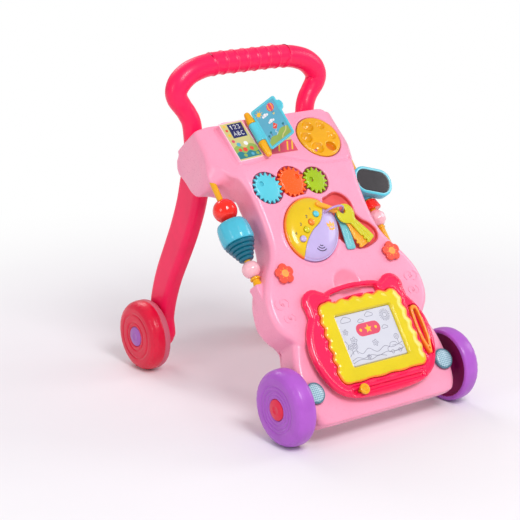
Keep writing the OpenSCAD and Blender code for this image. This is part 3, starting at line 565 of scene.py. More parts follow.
# The same further back, where the ears reach lower and have squarer corners
EAR_BACK = smooth_curve(LOWER_HIPS + [
    (89, 357), (91.5, 372), (95.5, 381.5), (101, 387.5), (107, 390.5), (114, 391.5), (119, 395), (121, 403),
    (120.5, 412), (118, 425), (116, 440), (115.5, 455), (115, 467), (112.5, 474), (98, 475.5),
    (0, 475.5)], n=3)
EAR_FROM, EAR_DEPTH = 20, 15             # how far behind the face the one outline gives way to the other
EAR_DRAFT = 4                            # the ears draw in by this much at the very back
EAR_SLOPE_FROM, EAR_SLOPE = 85, 0.6      # beyond this x the platform falls away sideways
BLOCK = smooth_curve([(0, 40), (60, 40), (98, 41), (112, 48), (120, 64), (122.5, 84), (122.5, 104),
                      (120, 124), (114, 142), (109, 156), (106, 176), (0, 178)], n=3)
# The sides of the shell, as (s, h)
FACE_BEND = 394                          # above this the head leans back
BODY_PROFILE = [(FACE_BEND, 0), (474, -30), (474, -98), (467, -98), (462, -107), (452, -113), (443, -113.5),
                (399, -87), (384, -72), (366, -46), (215, -46), (190, -50), (160, -46), (130, -46), (130, 0)]
BLOCK_PROFILE = [(40, -14), (44, -4), (190, -4), (190, -46), (66, -46), (46, -38)]
PLATFORM = np.concatenate([
    arc(-79, 80, 9, 180, 90, 5), arc(82, 78, 12, 90, 0, 5), arc(80, 16, 13, 0, -90, 5),
    smooth_curve([(66, 3), (48, 4.4), (28, 7.5), (8, 13.5), (-8, 19.5), (-22, 24), (-38, 25.5), (-62, 21.5),
                  (-78, 20.5)], n=4),
    arc(-80, 28, 8, -110, -180, 4)])
TABLE_STEP = 0.5
GEAR_WELLS = [(-61.3, 364.8, 23.5), (-20, 367.4, 23.5), (17.8, 364.2, 20.1)]    # x, s, radius
WELL_FLOOR = -7.3
DIAL = (57, 43.5)                        # x, v
PHONE_AT, PHONE_A, PHONE_B, PHONE_TURN = (-21, 297), 47, 40.5, 52
HOLLOW_LINE = smooth_curve([(14, 332), (24, 339), (39, 343), (52, 337), (60, 324), (60, 309), (66, 299),
                            (76, 292), (84, 280), (81, 268), (70, 262), (52, 258), (36, 262), (22, 272),
                            (12, 290)], True, 4)
SCOOP = (3, 215, 17, 27)                 # x, s, h, radius
LIGHTS = (108.5, 86.6)                   # x to each side, s
FLOWERS = (90, 245)


def phone_oval(grow=0.0):
    """The music unit's outline, grown all round."""
    t = full_turn(72)
    ellipse = np.stack([(PHONE_A + grow) * np.cos(t), (PHONE_B + grow) * np.sin(t)], 1)
    return turned(ellipse, PHONE_TURN) + PHONE_AT


def platform_distance(x, v):
    """The distance from the platform's outline, read from a table over x and v."""
    table_v = np.arange(-70, 130, TABLE_STEP)
    table = outline_distance(PLATFORM, x[:, :, 0], table_v[None, :])
    at = np.clip((v - table_v[0]) / TABLE_STEP, 0, len(table_v) - 1.001)
    cell = at.astype(int)
    column = np.arange(len(table))[:, None, None]
    return table[column, cell] * (1 - at + cell) + table[column, cell + 1] * (at - cell)


def shell_field(x, s, h):
    """The moulded shell in face coordinates."""
    front, back = outline_distance(mirrored(HIPS), x, s), outline_distance(mirrored(EAR_BACK), x, s)
    hips = front + (back - front) * np.clip(-h - EAR_FROM, 0, EAR_DEPTH) / EAR_DEPTH
    hips = hips + EAR_DRAFT * np.clip((-h - 50) / 50, 0, 1) * np.clip((s - 350) / 30, 0, 1)
    block = outline_distance(mirrored(BLOCK), x, s)
    edge_round = 8.5 - 3.5 * np.clip((s - 370) / 40, 0, 1)
    body = both(hips, outline_distance(BODY_PROFILE, s, h), edge_round)
    body = either(body, both(block, outline_distance(BLOCK_PROFILE, s, h), 9), 3)
    # the platform of the head with a groove round it, and the dial's well
    lean = HEAD_TILT - FACE_TILT
    v = (s - HEAD_S) * cos(lean) - h * sin(lean)
    out = (s - HEAD_S) * sin(lean) + h * cos(lean)
    far = platform_distance(x, v)
    slope = (out + EAR_SLOPE * np.maximum(np.abs(x) - EAR_SLOPE_FROM, 0)) * cos(atan(EAR_SLOPE))
    body = both(body, slope, 4)
    body = without(body, np.maximum(np.abs(far - 1.6) - 1.2, -1.5 - body), 0.6)
    body = either(body, plate(far, out, -22, 0, 1.5), 1.4)
    body = without(body, pit(x, v, out, DIAL, 34, -6.3), 1.6)
    # the gears' wells, the music unit's seat with its lip, the keys' hollow and the scoop for the fingers
    for gx, gs, r in GEAR_WELLS:
        body = without(body, pit(x, s, h, (gx, gs), r, WELL_FLOOR), 1.0)
    phone = outline_distance(phone_oval(0.4), x, s)
    body = either(body, np.maximum(np.abs(phone - 3.5) - 1.2, np.abs(h) - 0.5) + 0 * body, 1.6)
    body = without(body, np.maximum(phone, -9 - h), 0.9)
    body = without(body, np.maximum(outline_distance(HOLLOW_LINE, x, s), -9 - h), 1.6)
    ball = np.sqrt((x - SCOOP[0]) ** 2 + (s - SCOOP[1]) ** 2 + (h - SCOOP[2]) ** 2) - SCOOP[3]
    body = without(body, ball, 2.2)
    # on each side a bracket for the rod's foot, the flower's hole and the headlight's seat
    rod_line = ROD_FOOT_H - tan(ROD_LEAN) * (s - ROD_FOOT_S)
    for side in (-1, 1):
        foot = np.maximum(np.abs(x - side * (ROD_X - 1)) - 10.5, np.abs(h - rod_line) - 9)
        body = either(body, slab(foot, s, 229, 15, 2), 2.5)
        body = without(body, pit(x, s, h, (side * FLOWERS[0], FLOWERS[1]), 6.4, -12), 0.5)
        body = without(body, pit(x, s, h, (side * LIGHTS[0], LIGHTS[1]), 14.6, -5.2), 0.8)
    # the seat of the back cover, and a pocket behind it for the switch
    outer = np.minimum(front, block)
    body = without(body, np.maximum(np.maximum(outer + 3.2, np.abs(s - 205) - 153.2), h + 43.3), 0.3)
    return without(body, np.maximum(np.abs(x) - 9, np.maximum(np.abs(s - 254) - 16, h + 38)), 0.3)


def shell():
    o = solid("shell", shell_field, (-132, 37, -118), (132, 478, 4), cell_size(1.3), FACE, [SHELL])
    add(o, "walker", "shell_pink", "front_shell")


# ---------------------------------------------------------------- handle and legs
GRIP_Y, GRIP_Z, GRIP_HALF = 95, 442, 60.5
# The right half of the bow, from the end of the grip down into the head
BOW = [(60, GRIP_Y, GRIP_Z - 0.5), (78, GRIP_Y, GRIP_Z - 3), (97, GRIP_Y, GRIP_Z - 9),
       (111, GRIP_Y, GRIP_Z - 19), (118, GRIP_Y, GRIP_Z - 31), (116.5, GRIP_Y, GRIP_Z - 42),
       (109, GRIP_Y, GRIP_Z - 53),
       (101.5, GRIP_Y - 1, GRIP_Z - 64), (96, GRIP_Y - 3.5, GRIP_Z - 80), (94, GRIP_Y - 6, GRIP_Z - 120)]
BOW_REACH = [0, 60, 78, 100, 118, 140, 158, 230]             # along the bow from its middle
BOW_RADIUS = [15.5, 15.4, 15.5, 15.9, 16, 14.4, 13.2, 13.2]
RIB_PITCH, RIB_HALF, RIB_HEIGHT = 17.6, 3.2, 1.15


def handle():
    """One blow-moulded bow: a ribbed grip, fat corners, and necks that go down into the head."""
    right = smooth_curve(BOW, n=10)
    grip = np.array([(x, GRIP_Y, GRIP_Z) for x in np.linspace(-GRIP_HALF, GRIP_HALF, 160)[1:-1]])
    path = np.concatenate([(right * [-1, 1, 1])[::-1], grip, right])
    along = np.concatenate([[0], np.cumsum(np.linalg.norm(np.diff(path, axis=0), axis=1))])
    along -= along[-1] / 2
    radii = np.interp(np.abs(along), BOW_REACH, BOW_RADIUS)
    for i in range(-3, 5):
        rib = along - RIB_PITCH * (i - 0.5)
        wave = 0.5 + 0.5 * np.cos(np.pi * rib / RIB_HALF)
        radii = radii + np.where(np.abs(rib) < RIB_HALF, RIB_HEIGHT * wave, 0)
    add(sweep("handle_bow", path, radii, Matrix.Identity(4), [DEEP], 64), "walker", "deep_pink", "handle")


LEG_LINE = smooth_curve([(70, 322), (74, 312), (83, 285), (94, 250), (111, 212), (131, 175), (150, 140),
                         (164, 105), (171, 75), (173, 50)], n=5)
LEG_X, LEG_HALF = 98, 12
REAR_AXLE_Y, REAR_AXLE_Z = 173, 50


def leg(side, hand):
    """A curved bar with soft edges and a round end for the axle."""
    t = np.gradient(LEG_LINE, axis=0)
    t /= np.linalg.norm(t, axis=1, keepdims=True)
    across = np.stack([-t[:, 1], t[:, 0]], 1) * np.linspace(25.5, 19, len(LEG_LINE))[:, None]
    line = np.concatenate([LEG_LINE + across, (LEG_LINE - across)[::-1]])

    def field(y, z, x):
        end = np.hypot(y - REAR_AXLE_Y, z - REAR_AXLE_Z) - 22
        return slab(either(outline_distance(line, y, z), end, 8), x, LEG_X, LEG_HALF, 8.5)

    # the local frame's axes are the row's y, z and x
    place = Matrix(((0, 0, side, 0), (1, 0, 0, 0), (0, 1, 0, 0), (0, 0, 0, 1)))
    o = solid(f"leg_bar_{hand}", field, (40, 20, 82), (204, 334, 114), 1.6, place, [DEEP])
    add(o, "walker", "deep_pink", f"leg_{hand}")


# ---------------------------------------------------------------- wheels
WHEEL_R = 50
BAND_WIDTH = 9.5               # a paler band painted on the inner edge of a rear wheel's tread, a painted highlight
RIM_INSIDE = WHEEL_R - 6.4     # the tread's inner wall
DIMPLES = 30


def wheel_frame(cad, side):
    """z runs from a wheel's inner face to its outer face, and the width is returned with the frame."""
    low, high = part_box(cad)
    mid = (low + high) / 2 / MM
    start = (low.x if side > 0 else high.x) / MM
    return Matrix.Translation((start, mid.y, mid.z)) @ turn(90 * side, "Y"), (high.x - low.x) / MM


def wheel(end, hand):
    """A wheel with a crowned tread, ring grooves on its face, dimples on its shoulder and a hub cap."""
    place, w = wheel_frame(f"tyre_{end}_{hand}", 1 if hand == "right" else -1)
    front = end == "front"
    section = [(3.1, 4), (3.1, w - 4), (14.2, w - 4), (14.2, w - 0.6), (18, w), (34, w),
               (WHEEL_R - 10, w - 0.5), (WHEEL_R - 4.5, w - 3), (WHEEL_R - 1.2, w - 8),
               (WHEEL_R, w - 14), (WHEEL_R, 5), (WHEEL_R - 1.6, 0.6), (WHEEL_R - 5, 0),
               (WHEEL_R - 7, 0.6), (WHEEL_R - 9, 7), (17, 9), (12, 7), (11, 0.2), (7, 0), (6, 4)]

    def section_distance(r, z):
        """The distance from the turned section, read from a table over r."""
        grid_r = np.arange(0, 76, TABLE_STEP)
        table = outline_distance(section, grid_r[:, None], z.ravel()[None, :])
        at = np.clip(r[:, :, 0] / TABLE_STEP, 0, len(grid_r) - 1.001)
        i = at.astype(int)
        f = (at - i)[:, :, None]
        return table[i] * (1 - f) + table[i + 1] * f

    def field(x, y, z):
        r = np.hypot(x, y)
        d = section_distance(r, z)
        for groove in (19.5, 25, 30.5) if front else (20, 32):
            d = without(d, np.hypot(r - groove, z - w - 0.3) - 1.5, 0.5)
        if not front:
            d = without(d, np.hypot(r - WHEEL_R, z - BAND_WIDTH) - 0.9, 0.4)
        b = from_sector(x, y, DIMPLES)
        away = (r * np.cos(b) - (WHEEL_R - 3.5)) ** 2 + (r * np.sin(b)) ** 2 * 0.5 + (z - w + 2.6) ** 2
        return without(d, np.sqrt(away) - 1.6, 0.4)

    def second_paint(c):
        r = np.hypot(c[:, 0], c[:, 1])
        return (c[:, 2] < 12) & (r < RIM_INSIDE) if front else (c[:, 2] < BAND_WIDTH) & (r > RIM_INSIDE)

    if front:
        # front wheels: the second paint is the painted shade on the inner dish
        paints, cap_paint = [TYRE_LILAC, TYRE_INSIDE_SHADE], CAP_RED
        tyre_slot, cap_slot = "tyre_lilac", "tyre_crimson"
    else:
        # rear wheels: the second paint is the painted highlight band on the tread's inner edge
        paints, cap_paint = [TYRE_CRIMSON, TYRE_BAND_HIGHLIGHT], CAP_LILAC
        tyre_slot, cap_slot = "tyre_crimson", "tyre_lilac"
    body = f"wheel_{end}_{hand}"
    o = solid(body, field, (-52, -52, -1.5), (52, 52, w + 1.5), cell_size(1.2), place,
              paints, second_paint)
    add(o, body, tyre_slot, f"tyre_{end}_{hand}")
    cap = [(0, w - 3), (13.6, w - 3), (13.9, w - 1), (13.4, w - 0.2)]
    cap += [(r, w + 1.4 - 1.6 * (r / 13.4) ** 2) for r in np.linspace(12.8, 5, 9)]
    cap += [(4.4, w + 0.9), (3.8, w + 0.7), (0, w + 0.6)]
    o = lathe(f"hub_cap_{end}_{hand}", cap, place, [cap_paint], sides=64)
    add(o, body, cap_slot, f"cap_{end}_{hand}")


# ---------------------------------------------------------------- flat pictures in relief
class Relief:
    """Thin printed shapes lying on a plane, each a closed prism of its own ink."""

    def __init__(self, inks):
        self.inks = inks
        self.verts, self.faces, self.picks = [], [], []

    def shape(self, outline, ink, low, high):
        """The outline as a prism from low to high."""
        pts = [Vector((*p, 0)) for p in outline]
        if sum(a.x * b.y - b.x * a.y for a, b in zip(pts, pts[1:] + pts[:1])) < 0:
            pts.reverse()
        n, start = len(pts), len(self.verts)
        self.verts += [(p.x, p.y, low) for p in pts] + [(p.x, p.y, high) for p in pts]
        for a, b, c in tessellate_polygon([pts]):
            if (pts[b] - pts[a]).cross(pts[c] - pts[a]).z < 0:
                b, c = c, b
            self.faces += [(start + n + a, start + n + b, start + n + c), (start + a, start + c, start + b)]
            self.picks += [ink, ink]
        for i in range(n):
            j = (i + 1) % n
            self.faces.append((start + i, start + j, start + n + j, start + n + i))
            self.picks.append(ink)

    def stroke(self, points, width, ink, low, high):
        """A line of even width with mitred joints."""
        p = np.array(points, float)
        t = np.gradient(p, axis=0)
        t /= np.maximum(np.linalg.norm(t, axis=1, keepdims=True), 1e-9)
        side = np.stack([-t[:, 1], t[:, 0]], 1) * width / 2
        self.shape(np.concatenate([p + side, (p - side)[::-1]]), ink, low, high)

    def disc(self, x, y, r, ink, low, high, squash=1.0):
        self.shape(arc(0, 0, 1, 0, 345, 24) * [r, r * squash] + [x, y], ink, low, high)

    def rays(self, x, y, start, end, every, width, ink, low, high):
        """Strokes that point away from (x, y), one for every so many degrees."""
        for a in np.radians(np.arange(0, 360, every)):
            points = [(x + r * cos(a), y + r * sin(a)) for r in (start, end)]
            self.stroke(points, width, ink, low, high)

    def write(self, text, x, y, size, ink, low, high, angle, weight=0.13):
        """The text in strokes of weight times its size, from (x, y) on."""
        for i, letter in enumerate(text):
            for line in LETTERS[letter]:
                points = (np.array(line) + [i * LETTER_PITCH, 0]) * [size * 0.8, size]
                self.stroke(turned(points, angle) + [x, y], size * weight, ink, low, high)

    def made(self, name, place, drape=None):
        """The prisms as one object; drape(x, y) lifts each point onto a curved surface."""
        verts = np.array(self.verts, float)
        if drape is not None:
            verts[:, 2] += drape(verts[:, 0], verts[:, 1])
        return new_object(name, placed(verts, place), self.faces, self.inks, smooth=False, picks=self.picks)


LETTER_PITCH = 1.15
LETTERS = {
    "1": [[(0.2, 0.75), (0.5, 1), (0.5, 0)]],
    "2": [[(0.1, 0.75), (0.25, 0.97), (0.55, 1), (0.8, 0.8), (0.7, 0.5), (0.1, 0), (0.85, 0)]],
    "3": [[(0.1, 0.9), (0.45, 1), (0.75, 0.8), (0.4, 0.55), (0.8, 0.3), (0.45, 0), (0.1, 0.1)]],
    "4": [[(0.65, 0), (0.65, 1), (0.1, 0.3), (0.9, 0.3)]],
    "A": [[(0.05, 0), (0.45, 1), (0.85, 0)], [(0.2, 0.35), (0.7, 0.35)]],
    "B": [[(0.15, 0), (0.15, 1), (0.6, 0.95), (0.65, 0.6), (0.15, 0.52)],
          [(0.15, 0.52), (0.75, 0.45), (0.75, 0.08), (0.15, 0)]],
    "C": [[(0.8, 0.85), (0.45, 1), (0.1, 0.6), (0.15, 0.2), (0.5, 0), (0.85, 0.15)]],
}


def ink(name, rgb, dark, mottle=35.0):
    """Glossy printing ink."""
    return plastic("print_" + name, rgb, 0.3, 0.5, dark, mottle=mottle)


SUN = ink("sun", (244, 190, 50), 0.93)
ROSE = ink("rose", (222, 74, 104), 0.9)
WHITE = ink("white", (240, 240, 244), 0.96)
INKS = [ink("sky", (92, 172, 200), 0.94, 90), ink("navy", (34, 36, 98), 0.8),
        ink("cream", (208, 198, 130), 0.92), WHITE, ink("grass", (150, 178, 86), 0.88),
        ink("sea", (40, 128, 140), 0.88), ROSE, SUN, CORAL,
        ink("plum", (120, 60, 130), 0.9), ink("border", (255, 200, 218), 0.95)]
I_SKY, I_NAVY, I_CREAM, I_WHITE, I_GRASS, I_SEA, I_ROSE, I_SUN, I_CORAL, I_PLUM, I_PALE = range(len(INKS))

# ---------------------------------------------------------------- CAD nodes that stay
STAYING = {
    "back_cover": COVER, "battery_door": COVER, "battery_box": COVER, "front_axle": STEEL,
    "rear_axles": STEEL, "shell_screws": STEEL, "speaker": DARK, "batteries": STEEL,
    # the gear tray's dark crimson is painted shade for the gear wells
    "circuit_board": LIME, "power_switch": DARK, "gear_tray": TRAY_SHADE,
}
SOFT_EDGE = 0.0004  # metres


def staying_nodes():
    """The CAD nodes that stay get their plastics and metals, and soft edges."""
    for name, material in STAYING.items():
        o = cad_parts[name]
        o.data.materials.clear()
        o.data.materials.append(material)
        edge = o.modifiers.new("edges", "BEVEL")
        edge.width = SOFT_EDGE
        edge.segments = 2
        edge.limit_method = "ANGLE"


# ---------------------------------------------------------------- headlights
def headlights():
    """Domed lenses over a dotted reflector, each in a slate ring."""
    t = LENS_PAINT.node_tree
    flat = node(t, "ShaderNodeMapping", Rotation=(FACE_TILT - pi / 2, 0, 0))
    dots = node(t, "ShaderNodeTexVoronoi", voronoi_dimensions="2D", Scale=380.0, Randomness=0.0)
    tones = ramp(t, linear((120, 160, 182)), linear((184, 214, 224)), 0.25, 0.5)
    join(t, (coordinates(LENS_PAINT), "Object", flat, "Vector"), (flat, "Vector", dots, "Vector"),
         (dots, "Distance", tones, "Fac"), (tones, "Color", t.nodes["Principled BSDF"], "Base Color"))
    ring = round_corners([(8.2, 0.2), (14, 0.2), (14, 3.2), (13, 4.2), (12.2, 4.0), (12.2, 1.6), (8.2, 1.6),
                          (8.2, 0.2)], 0.5)
    dome = [(0, 1.5), (12.1, 1.5)]
    dome += [(12.1 * sin(a), 3.4 + 2.9 * cos(a)) for a in np.radians(np.linspace(90, 0, 14))]
    rings, lenses = [], []
    for side, hand in ((-1, "left"), (1, "right")):
        place = FACE @ shift(side * LIGHTS[0], LIGHTS[1], -4)
        rings.append(lathe(f"headlight_ring_{hand}", ring, place, [SLATE]))
        lenses.append(lathe(f"headlight_lens_{hand}", dome, place, [LENS_PAINT]))
    for made, slot, cad in ((rings, "rim_teal", "headlight_rims"), (lenses, "lens", "headlight_lenses")):
        for o in made:
            add(o, "walker", slot, cad)


# ---------------------------------------------------------------- gears and dial
GEAR_MODULE = 2.3
GEAR_BASE, GEAR_TOP = -6.6, -1.0
GEAR_BIG, GEAR_SMALL = 18, 15                  # teeth
# One tooth, as (turn in pitches, way out from the pitch circle)
TOOTH = ((-0.34, -2.5), (-0.24, -0.6), (-0.1, 1.9), (0.1, 1.9), (0.24, -0.6), (0.34, -2.5))


def gear(name, at, teeth, phase, dimple, paint, slot):
    """A chunky gear with a slightly crowned face, a finger dimple and a ring groove."""
    r = teeth * GEAR_MODULE / 2
    outline = [polar(r + out, (i + offset) * 2 * pi / teeth + phase)
               for i in range(teeth) for offset, out in TOOTH]

    def field(x, y, z):
        crown = GEAR_TOP - 0.0016 * (x * x + y * y)
        d = plate(outline_distance(outline, x, y), z, GEAR_BASE, crown, 0.7)
        d = without(d, np.hypot(np.hypot(x, y) - r * 0.8, z - crown) - 0.45, 0.3)
        d = without(d, pit(x, y, z, dimple, 3.3, GEAR_TOP - 2.8), 0.6)
        return without(d, np.maximum(np.hypot(x, y) - 4.1, z + 3.6), 0.2)

    reach = r + 3
    o = solid(name + "_wheel", field, (-reach, -reach, -7.6), (reach, reach, 0), cell_size(0.55),
              FACE @ shift(*at), [paint])
    add(o, name, slot, name)


def gears():
    """The orange gear in the middle, and the other two set and turned so that their teeth mesh with it."""
    middle = GEAR_WELLS[1][:2]
    for name, teeth, bearing, dimple, paint, slot in (
            ("gear_cyan", GEAR_BIG, 183.6, (-7.5, 7), CYAN, "cyan"),
            ("gear_green", GEAR_SMALL, -4.8, (-6.5, 2), LIME, "green")):
        dx, dy = polar((GEAR_BIG + teeth) * GEAR_MODULE / 2, radians(bearing))
        phase = radians(bearing + 180 + 180 / teeth + bearing * GEAR_BIG / teeth)
        gear(name, (middle[0] + dx, middle[1] + dy), teeth, phase, dimple, paint, slot)
    gear("gear_orange", middle, GEAR_BIG, 0, (10, 6.5), ORANGE, "gear_orange")


CUP_RING = 21                                  # from the dial's middle to the middle of its cups
CUP_RADII = (7.2, 7.2, 9.2, 9.2, 9.4)


def dial():
    """The dial: five shallow cups and one deep hole with an amber floor."""
    cups = [(*polar(CUP_RING, radians(60 * i - 4)), r) for i, r in enumerate(CUP_RADII)]
    hole = polar(CUP_RING, radians(-60))

    def field(x, y, z):
        r = np.hypot(x, y)
        d = both(r - 32.9, np.maximum(z - 1.8 + 0.0009 * r * r, -5.6 - z), 1.8)
        for cx, cy, cup in cups:
            d = without(d, np.sqrt((x - cx) ** 2 + (y - cy) ** 2 + (z - 4.2) ** 2) - cup, 1.0)
        d = without(d, pit(x, y, z, hole, 7.6, -3.6), 1.3)
        d = without(d, np.maximum(r - 5.1, z + 1.7), 0.2)
        return without(d, np.hypot(r - 30.6, z - 0.95) - 0.5, 0.3)

    def amber(c):
        return (np.hypot(c[:, 0] - hole[0], c[:, 1] - hole[1]) < 7.4) & (c[:, 2] < 0.2)

    o = solid("dial_disc", field, (-35, -35, -7), (35, 35, 3), cell_size(0.6), HEAD @ shift(*DIAL),
              [YELLOW, AMBER], pick=amber)
    add(o, "dial", "yellow", "dial")


# ---------------------------------------------------------------- the turning page
BOOK_X, BOOK_H, PAGE_OPEN = -42, 6.6, 58
PAGE_LOW, PAGE_HIGH, PAGE_W = 26, 90, 46
PAGE_MIDDLE = 59.5                             # of the sleeve that turns on the spindle
INK_LOW, INK_TOP = 0.7, 0.95                   # the printed film on each side of the page


def book():
    """The spindle with its yellow ends, the page with a picture on each side, and the pictures under it."""
    along = HEAD @ shift(BOOK_X, 0, BOOK_H) @ turn(-90, "X")
    low_end = round_corners([(0, 21), (3, 21), (4.0, 23), (5.9, 40), (5.9, 44.6), (0, 44.6)], 1.2)
    top_end = round_corners([(0, 74.4), (5.9, 74.4), (5.9, 79), (4.0, 91), (3, 93), (0, 93)], 1.2)
    for name, profile, sides in (("page_spindle", low_end, 48), ("page_spindle_top", top_end, 48),
                                 ("page_pin", [(2.4, 44), (2.4, 75)], 32)):
        add(lathe(name, profile, along, [YELLOW], sides), "walker", "yellow", "book_spindle")

    def field(x, y, z):
        tab = np.hypot((x - (PAGE_W - 0.5)) / 0.75, y - (PAGE_HIGH - 17)) - 8
        leaf = outline_distance(rounded_box(6, PAGE_LOW, PAGE_W, PAGE_HIGH, 3.5), x, y)
        d = both(np.minimum(leaf, tab), np.abs(z) - 1.3, 0.9)
        panel = outline_distance(rounded_box(9, PAGE_LOW + 3, PAGE_W - 3, PAGE_HIGH - 3, 2), x, y)
        d = without(d, np.maximum(panel, 0.75 - np.abs(z)), 0.3)
        web = np.maximum(np.maximum(np.abs(z) - 1.3, np.abs(y - PAGE_MIDDLE) - 13.5), np.maximum(x - 9, -x))
        sleeve = slab(np.hypot(x, z) - 5.8, y, PAGE_MIDDLE, 14.4, 0.8)
        return np.maximum(either(d, either(sleeve, web, 1.2), 1.0), 2.55 - np.hypot(x, z))

    place = HEAD @ shift(BOOK_X, 0, BOOK_H) @ turn(-PAGE_OPEN, "Y")
    page = solid("page_leaf", field, (-7, PAGE_LOW - 2, -7), (PAGE_W + 8, PAGE_HIGH + 2, 7),
                 cell_size(0.6), place, [CYAN])
    add(page, "book_page", "cyan", "book_page")
    add(page_picture().made("page_picture_front", place), "book_page", "cyan")
    back = page_picture().made("page_picture_back", place @ Matrix.Scale(-1, 4, (0, 0, 1)))
    back.data.flip_normals()
    add(back, "book_page", "cyan")
    stickers()


def page_picture():
    """A hill with a path, a striped balloon with its basket, a sun, clouds, a kite and three bushes."""
    art = Relief(INKS)
    low, top, up = INK_LOW, INK_TOP, INK_TOP + 0.06
    left, right = 9.6, PAGE_W - 3.6
    art.shape(rounded_box(9.4, PAGE_LOW + 3.4, PAGE_W - 3.4, PAGE_HIGH - 3.4, 2), I_SKY, low, top)
    hill = smooth_curve([(left, 36), (16, 41), (24, 39), (32, 44), (right, 41)], n=5)
    art.shape([*hill, (right, PAGE_LOW + 3.8), (left, PAGE_LOW + 3.8)], I_GRASS, top - 0.1, up)
    art.stroke(smooth_curve([(28, 30), (31, 34), (37, 37), (40, 42)], n=4), 1.6, I_CREAM, top, up + 0.05)
    art.disc(34, 78, 5.4, I_ROSE, top, up, squash=1.15)
    for k in (-1, 1):
        art.stroke([(34 + k * 2.2, 83), (34 + k * 3.2, 78), (34 + k * 1.8, 73)], 1.1, I_SUN, top, up + 0.05)
        art.stroke([(34 + k, 72.4), (34 + k * 0.6, 68.6)], 0.4, I_NAVY, top, up)
    art.shape(rounded_box(32.6, 66, 35.4, 68.6, 0.6), I_CREAM, top, up)
    art.disc(15, 79, 3.2, I_SUN, top, up)
    art.rays(15, 79, 3.9, 5.6, 45, 0.7, I_SUN, top, up)
    for cx, cy in ((22, 72), (26, 60)):
        for dx, dy, r in ((-3, 0, 1.8), (0, 0.7, 2.6), (3, 0, 1.8)):
            art.disc(cx + dx, cy + dy, r, I_WHITE, top, up)
    art.shape([(23, 50), (27, 46.5), (31, 51), (27, 57)], I_CORAL, top, up)
    art.stroke([(25, 51.5), (29, 51.5)], 0.6, I_WHITE, top, up + 0.05)
    art.stroke(smooth_curve([(27, 46.5), (24, 44), (26, 41), (22, 38)], n=4), 0.5, I_WHITE, top, up)
    for cx, cy in ((13, 44), (17.5, 47), (38, 47)):
        art.disc(cx, cy, 1.7, I_SEA, top, up)
        art.stroke([(cx, cy), (cx, cy - 5)], 0.7, I_PLUM, top, up)
    return art


GARDEN_DOTS = ((-80, 66, 2.4, I_SUN), (-80.5, 74, 2.0, I_CORAL), (-79.5, 56, 2.4, I_ROSE),
               (-81, 81, 2, I_SUN), (-74, 50, 3.2, I_SKY), (-62, 51, 3.2, I_WHITE),
               (-68, 41, 3.4, I_CORAL), (-57, 42, 3.0, I_CORAL), (-76, 41, 2.6, I_CORAL),
               (-72, 32, 2.6, I_GRASS), (-60, 33, 2.4, I_SKY), (-52, 33, 2.4, I_GRASS))


def stickers():
    """Two printed pictures on the platform: a blackboard over a garden, and the one that the page covers."""
    art = Relief(INKS)
    base, film, top = -0.1, 0.35, 0.42
    art.shape([(-88, 86.4), (-48.6, 89.1), (-44.8, 26), (-85.2, 22.8)], I_PALE, film - 0.3, film - 0.02)
    art.shape([(-86.5, 85), (-50, 87.5), (-46.4, 27.5), (-84, 24.5)], I_CREAM, base, film)
    hill = smooth_curve([(-84.6, 45), (-76, 49), (-66, 44), (-56, 50), (-48, 46)], n=5)
    art.shape([*hill, (-47.2, 30), (-83.6, 27)], I_GRASS, film - 0.1, top)
    wave = smooth_curve([(-84, 36), (-77, 39), (-70, 35), (-62, 39), (-54, 36), (-47.6, 38)], n=5)
    art.shape([*wave, (-47.2, 29.6), (-83.6, 26.6)], I_SEA, film - 0.1, top + 0.05)
    art.shape([(-76, 83.5), (-52, 85.2), (-52.6, 62.6), (-76, 60.6)], I_NAVY, film - 0.1, top)
    for text, x, y in (("123", -73.5, 75), ("ABC", -72.5, 64.5)):
        art.write(text, x, y, 6.6, I_WHITE, top - 0.02, top + 0.08, angle=3)
    for x, y, r, ink_number in GARDEN_DOTS:
        art.disc(x, y, r, ink_number, film, top + 0.1)
    add(art.made("garden_picture", HEAD), "walker", "shell_pink")
    under = Relief(INKS)
    under.shape([(-37, 88), (10, 88), (12, 27), (-36, 27)], I_CREAM, base, film)
    under.shape([(-37, 46), (11.4, 46), (12, 27), (-36, 27)], I_ROSE, film - 0.1, top)
    for x in (-28, -14, 0, 8):
        under.stroke(smooth_curve([(x - 4, 30), (x, 38), (x + 3, 44)], n=4), 2.2, I_SUN, film, top + 0.06)
    under.disc(-12, 66, 9, I_SUN, film - 0.1, top)
    under.disc(-12, 66, 5, I_CORAL, film - 0.1, top + 0.06)
    add(under.made("hidden_picture", HEAD), "walker", "shell_pink")


# ---------------------------------------------------------------- the music unit
S_CURVE = smooth_curve([(14, 345), (4, 322), (-8, 304), (-26, 293), (-40, 280), (-48, 266), (-53, 245)])
YELLOW_SIDE = np.concatenate([S_CURVE, [(-95, 245), (-95, 345)]])
BUTTONS = ((-12, 314, CYAN, "cyan"), (-24, 304, RIM, "orange"), (-35.5, 295, OLIVE, "olive"),
           (-46, 284, LILAC, "lilac"))
BUTTON_R, BUTTON_HOLE_R = 4.25, 4.6
NUMERALS = (("1", -18, 322), ("2", -28.5, 312.5), ("3", -41.5, 303.5), ("4", -53, 293))
UNIT_INSET, UNIT_RISE = -1.2, 9.2              # of the dome from the base's outline, and its height
LUG = ((-3, 327), (20, 314))                   # from the unit to the key ring
KEY_HOLE = (33, 313)
KEY_T = 2.6


def dome_height(x, s):
    """Height of the music unit's dome above the face."""
    c, w = cos(radians(PHONE_TURN)), sin(radians(PHONE_TURN))
    dx, ds = x - PHONE_AT[0], s - PHONE_AT[1]
    q = np.hypot((dx * c + ds * w) / (PHONE_A + UNIT_INSET), (ds * c - dx * w) / (PHONE_B + UNIT_INSET))
    return UNIT_RISE * np.sqrt(np.clip(1 - q ** 4, 0, 1)) + 0.4


